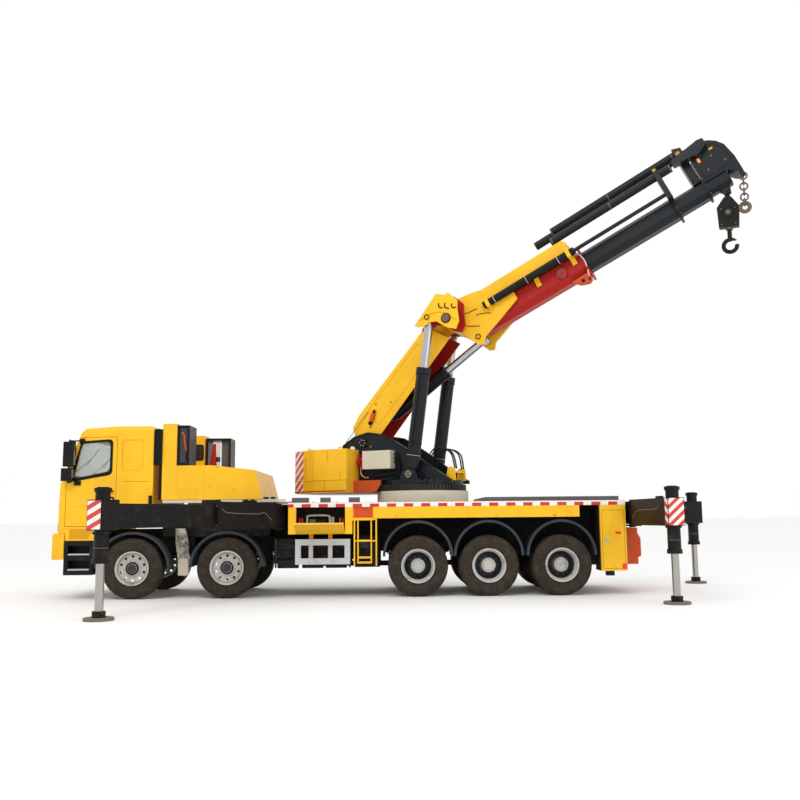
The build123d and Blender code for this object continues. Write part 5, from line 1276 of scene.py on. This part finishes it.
def boom_head_fittings():
    """Raised outline, pins, reflectors and hose of the boom head."""
    head = Build("boom_head_fittings", fold_point)
    put = head.add
    put(seam_ring([(5.18, -0.1), (5.18, 0.4), (5.38, 0.52), (5.6, 0.4), (5.7, 0.2), (5.72, -0.08)], 0.04,
                  0.01, 0.1945, 0.199), "hose")
    for along, above in ((5.3, 0.34), (5.46, 0.22), (5.62, 0.02), (5.3, 0.02)):
        put(bar([(along, 0.1945, above), (along, 0.206, above)], 0.02, 12), "iron")
    put(box_form((5.22, 0.1945, 0.22), (5.27, 0.203, 0.31), 0.002), "amber_lens")
    put(box_form((5.48, 0.1945, 0.33), (5.55, 0.201, 0.36), 0.002), "yellow")
    put(bar(curve([(4.9, 0.3, 0.48), (5.1, 0.31, 0.53), (5.26, 0.24, 0.5), (5.36, 0.205, 0.36)]), 0.012, 8),
        "hose")
    put(bar([(5.3, 0.0, -0.375), (5.3, 0.0, -0.42)], 0.02, 8), "iron")
    head.finish("boom_head", "black_paint")


def lift_barrel_bands():
    """Rings and oil pipes on the lift cylinders' barrels."""
    rings = Build("lift_barrel_bands", crane_point)
    base, (along, above) = np.array(BARREL_PIN), LIFT_EYE
    eye = np.array([MAIN_PIVOT[0] + along * math.cos(MAIN_LEAN) - above * math.sin(MAIN_LEAN),
                    MAIN_PIVOT[1] + along * math.sin(MAIN_LEAN) + above * math.cos(MAIN_LEAN)])
    way = (eye - base) / np.linalg.norm(eye - base)
    for sign in SIDES.values():
        for at, grow, wire, finish in ((0.36, 0.0, 0.005, "silver"), (0.60, 0.0, 0.009, "hose"),
                                       (1.915, 0.012, 0.006, "hose")):
            reach, height = base + way * at
            rings.add(ring_bar((reach, sign * BARREL_LEFT, height), ACROSS, (-way[1], 0, way[0]),
                               BARREL_RADIUS + grow, wire, steps=40), finish)
        # Pipe by its distance along the barrel and how far it stands outwards from the axis
        pipe = ((0.5, 0.128), (0.58, 0.145), (1.2, 0.145), (1.8, 0.145), (1.88, 0.128))
        rings.add(bar([(base[0] + way[0] * at, sign * (BARREL_LEFT + out), base[1] + way[1] * at)
                       for at, out in pipe], 0.010, 8), "hose")
    rings.finish("lift_barrels", "black_paint")


def hook_fittings():
    """Sheave rims, pins and bolts of the hook block, and the hook's collar."""
    hook = Build("hook_fittings", crane_point)
    along, above = HOOK_PIN
    reach = FOLD_PIVOT[0] + along * math.cos(FOLD_LEAN) - above * math.sin(FOLD_LEAN)
    height = FOLD_PIVOT[1] + along * math.sin(FOLD_LEAN) + above * math.cos(FOLD_LEAN)
    sheave = height - 0.4
    for sign in SIDES.values():
        level = sign * 0.0715
        hook.add(ring_bar((reach, level, sheave), ALONG, UP, 0.105, 0.01), "hose")
        hook.add(bar([(reach, level, sheave), (reach, level + sign * 0.014, sheave)], 0.045, 20), "iron")
        for across in (-0.115, 0.115):
            for drop in (0.33, 0.61):
                bolt = (reach + across, level, height - drop)
                hook.add(bar([bolt, (bolt[0], level + sign * 0.01, bolt[2])], 0.014, 6), "iron")
    hook.add(bar([(reach, 0, height - 0.652), (reach, 0, height - 0.7)], 0.062, 20), "iron")
    hook.finish("hook_block", "black_paint")


def stay_cable():
    """Taut cable from the turntable to the main boom."""
    stay = Build("stay_cable")
    low, high = np.array([(-1.6, 0.45, 2.742)]), np.array([(0.5, 0.322, 0.4)])
    ends = np.concatenate([crane_point(low), main_point(high)])
    share = np.linspace(0, 1, 40)[:, None]
    stay.add(bar(ends[0] + (ends[1] - ends[0]) * share, 0.007, 8), "grey")
    piece = stay.finish(None, "steel")
    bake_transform(piece)


class CRANE_OT_boom_fittings(bpy.types.Operator):
    """Pin caps, raised lines, beacon, rings, flange bolts, hoses and marks on the booms and the head"""

    bl_idname = "crane.boom_fittings"
    bl_label = "Boom fittings"

    def execute(self, context):
        for make in (main_boom_fittings, second_boom_fittings, section_1_fittings, section_2_fittings,
                     boom_head_fittings, lift_barrel_bands, hook_fittings, stay_cable):
            make()
        return {"FINISHED"}


class CRANE_OT_stage(bpy.types.Operator):
    """Pale floor, soft studio light and the camera"""

    bl_idname = "crane.stage"
    bl_label = "Studio"

    def execute(self, context):
        look = context.scene.crane_looks
        floor = bpy.data.meshes.new("studio_floor")
        corners = [(FLOOR_HALF * x, FLOOR_HALF * y, 0) for x, y in ((-1, -1), (1, -1), (1, 1), (-1, 1))]
        floor.from_pydata(corners, [], [(0, 1, 2, 3)])
        paint = Paint("studio_floor_finish")
        floor.materials.append(paint.close(paint.shader((0.93, 0.93, 0.925, 1), 0.8)))
        piece = bpy.data.objects.new("studio_floor", floor)
        context.scene.collection.objects.link(piece)
        world = bpy.data.worlds.new("studio_air")
        world.use_nodes = True
        air = world.node_tree.nodes["Background"].inputs
        air["Color"].default_value, air["Strength"].default_value = (1.0, 1.0, 0.995, 1), look.sky_strength
        context.scene.world = world
        context.scene.view_settings.view_transform = "Standard"
        # Lamps as place, aim, size, power
        for name, place, aim, wide, power in (
                ("key_light", (6.0, 14.0, 16.0), (0, 0, 1.5), 9.0, look.key_power),
                ("fill_light", (-12.0, 12.0, 7.0), (-2, 0, 2.5), 10.0, look.key_power * 0.35)):
            lamp = bpy.data.lights.new(name, "AREA")
            lamp.shape, lamp.size, lamp.energy = "DISK", wide, power
            holder = bpy.data.objects.new(name, lamp)
            context.scene.collection.objects.link(holder)
            holder.location = place
            holder.rotation_euler = (Vector(aim) - Vector(place)).to_track_quat("-Z", "Y").to_euler()
        camera = bpy.data.cameras.new("photo_camera")
        camera.lens = FOCAL_LENGTH / PHOTO_WIDTH * camera.sensor_width
        camera.clip_end = 600
        holder = bpy.data.objects.new("photo_camera", camera)
        context.scene.collection.objects.link(holder)
        yaw, pitch, roll = (math.radians(value) for value in CAMERA_TURNS)
        ahead = Vector((-math.sin(yaw) * math.cos(pitch), -math.cos(yaw) * math.cos(pitch),
                        math.sin(pitch)))
        right = Vector((-math.cos(yaw), math.sin(yaw), 0.0))
        up = right.cross(ahead)
        right, up = (right * math.cos(roll) - up * math.sin(roll),
                     up * math.cos(roll) + right * math.sin(roll))
        turn = Matrix((right, up, -ahead)).transposed().to_4x4()
        holder.matrix_world = Matrix.Translation((x_at(CAMERA_STATION), CAMERA_LEFT, CAMERA_HEIGHT)) @ turn
        context.scene.camera = holder
        return {"FINISHED"}


class CraneLooks(bpy.types.PropertyGroup):
    """Sizes and strengths that a user would change."""

    key_power: FloatProperty(name="Key light", description="Power of the main lamp", default=900.0, min=0.0,
                             unit="POWER")
    sky_strength: FloatProperty(name="Sky", description="Strength of the even light all round", default=1.0,
                                min=0.0)


class CRANE_PT_panel(bpy.types.Panel):
    """Sidebar list of the crane's steps"""

    bl_idname = "CRANE_PT_panel"
    bl_label = "Knuckle boom crane"
    bl_space_type = "VIEW_3D"
    bl_region_type = "UI"
    bl_category = "Crane"

    def draw(self, context):
        look = context.scene.crane_looks
        for name in ("key_power", "sky_strength"):
            self.layout.prop(look, name)
        for step in STEPS:
            self.layout.operator(step.bl_idname)


STEPS = (CRANE_OT_paint, CRANE_OT_wheels, CRANE_OT_warning_stripes, CRANE_OT_cab_fittings,
         CRANE_OT_housing_fittings, CRANE_OT_mudguards, CRANE_OT_deck_fittings, CRANE_OT_outrigger_fittings,
         CRANE_OT_turntable_fittings, CRANE_OT_boom_fittings, CRANE_OT_stage)
CLASSES = (CraneLooks, *STEPS, CRANE_PT_panel)


def register():
    for made in CLASSES:
        bpy.utils.register_class(made)
    bpy.types.Scene.crane_looks = PointerProperty(type=CraneLooks)


def unregister():
    del bpy.types.Scene.crane_looks
    for made in reversed(CLASSES):
        bpy.utils.unregister_class(made)


def main():
    register()
    for step in STEPS:
        group, name = step.bl_idname.split(".")
        getattr(getattr(bpy.ops, group), name)()
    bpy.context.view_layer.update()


if __name__ == "__main__":
    main()
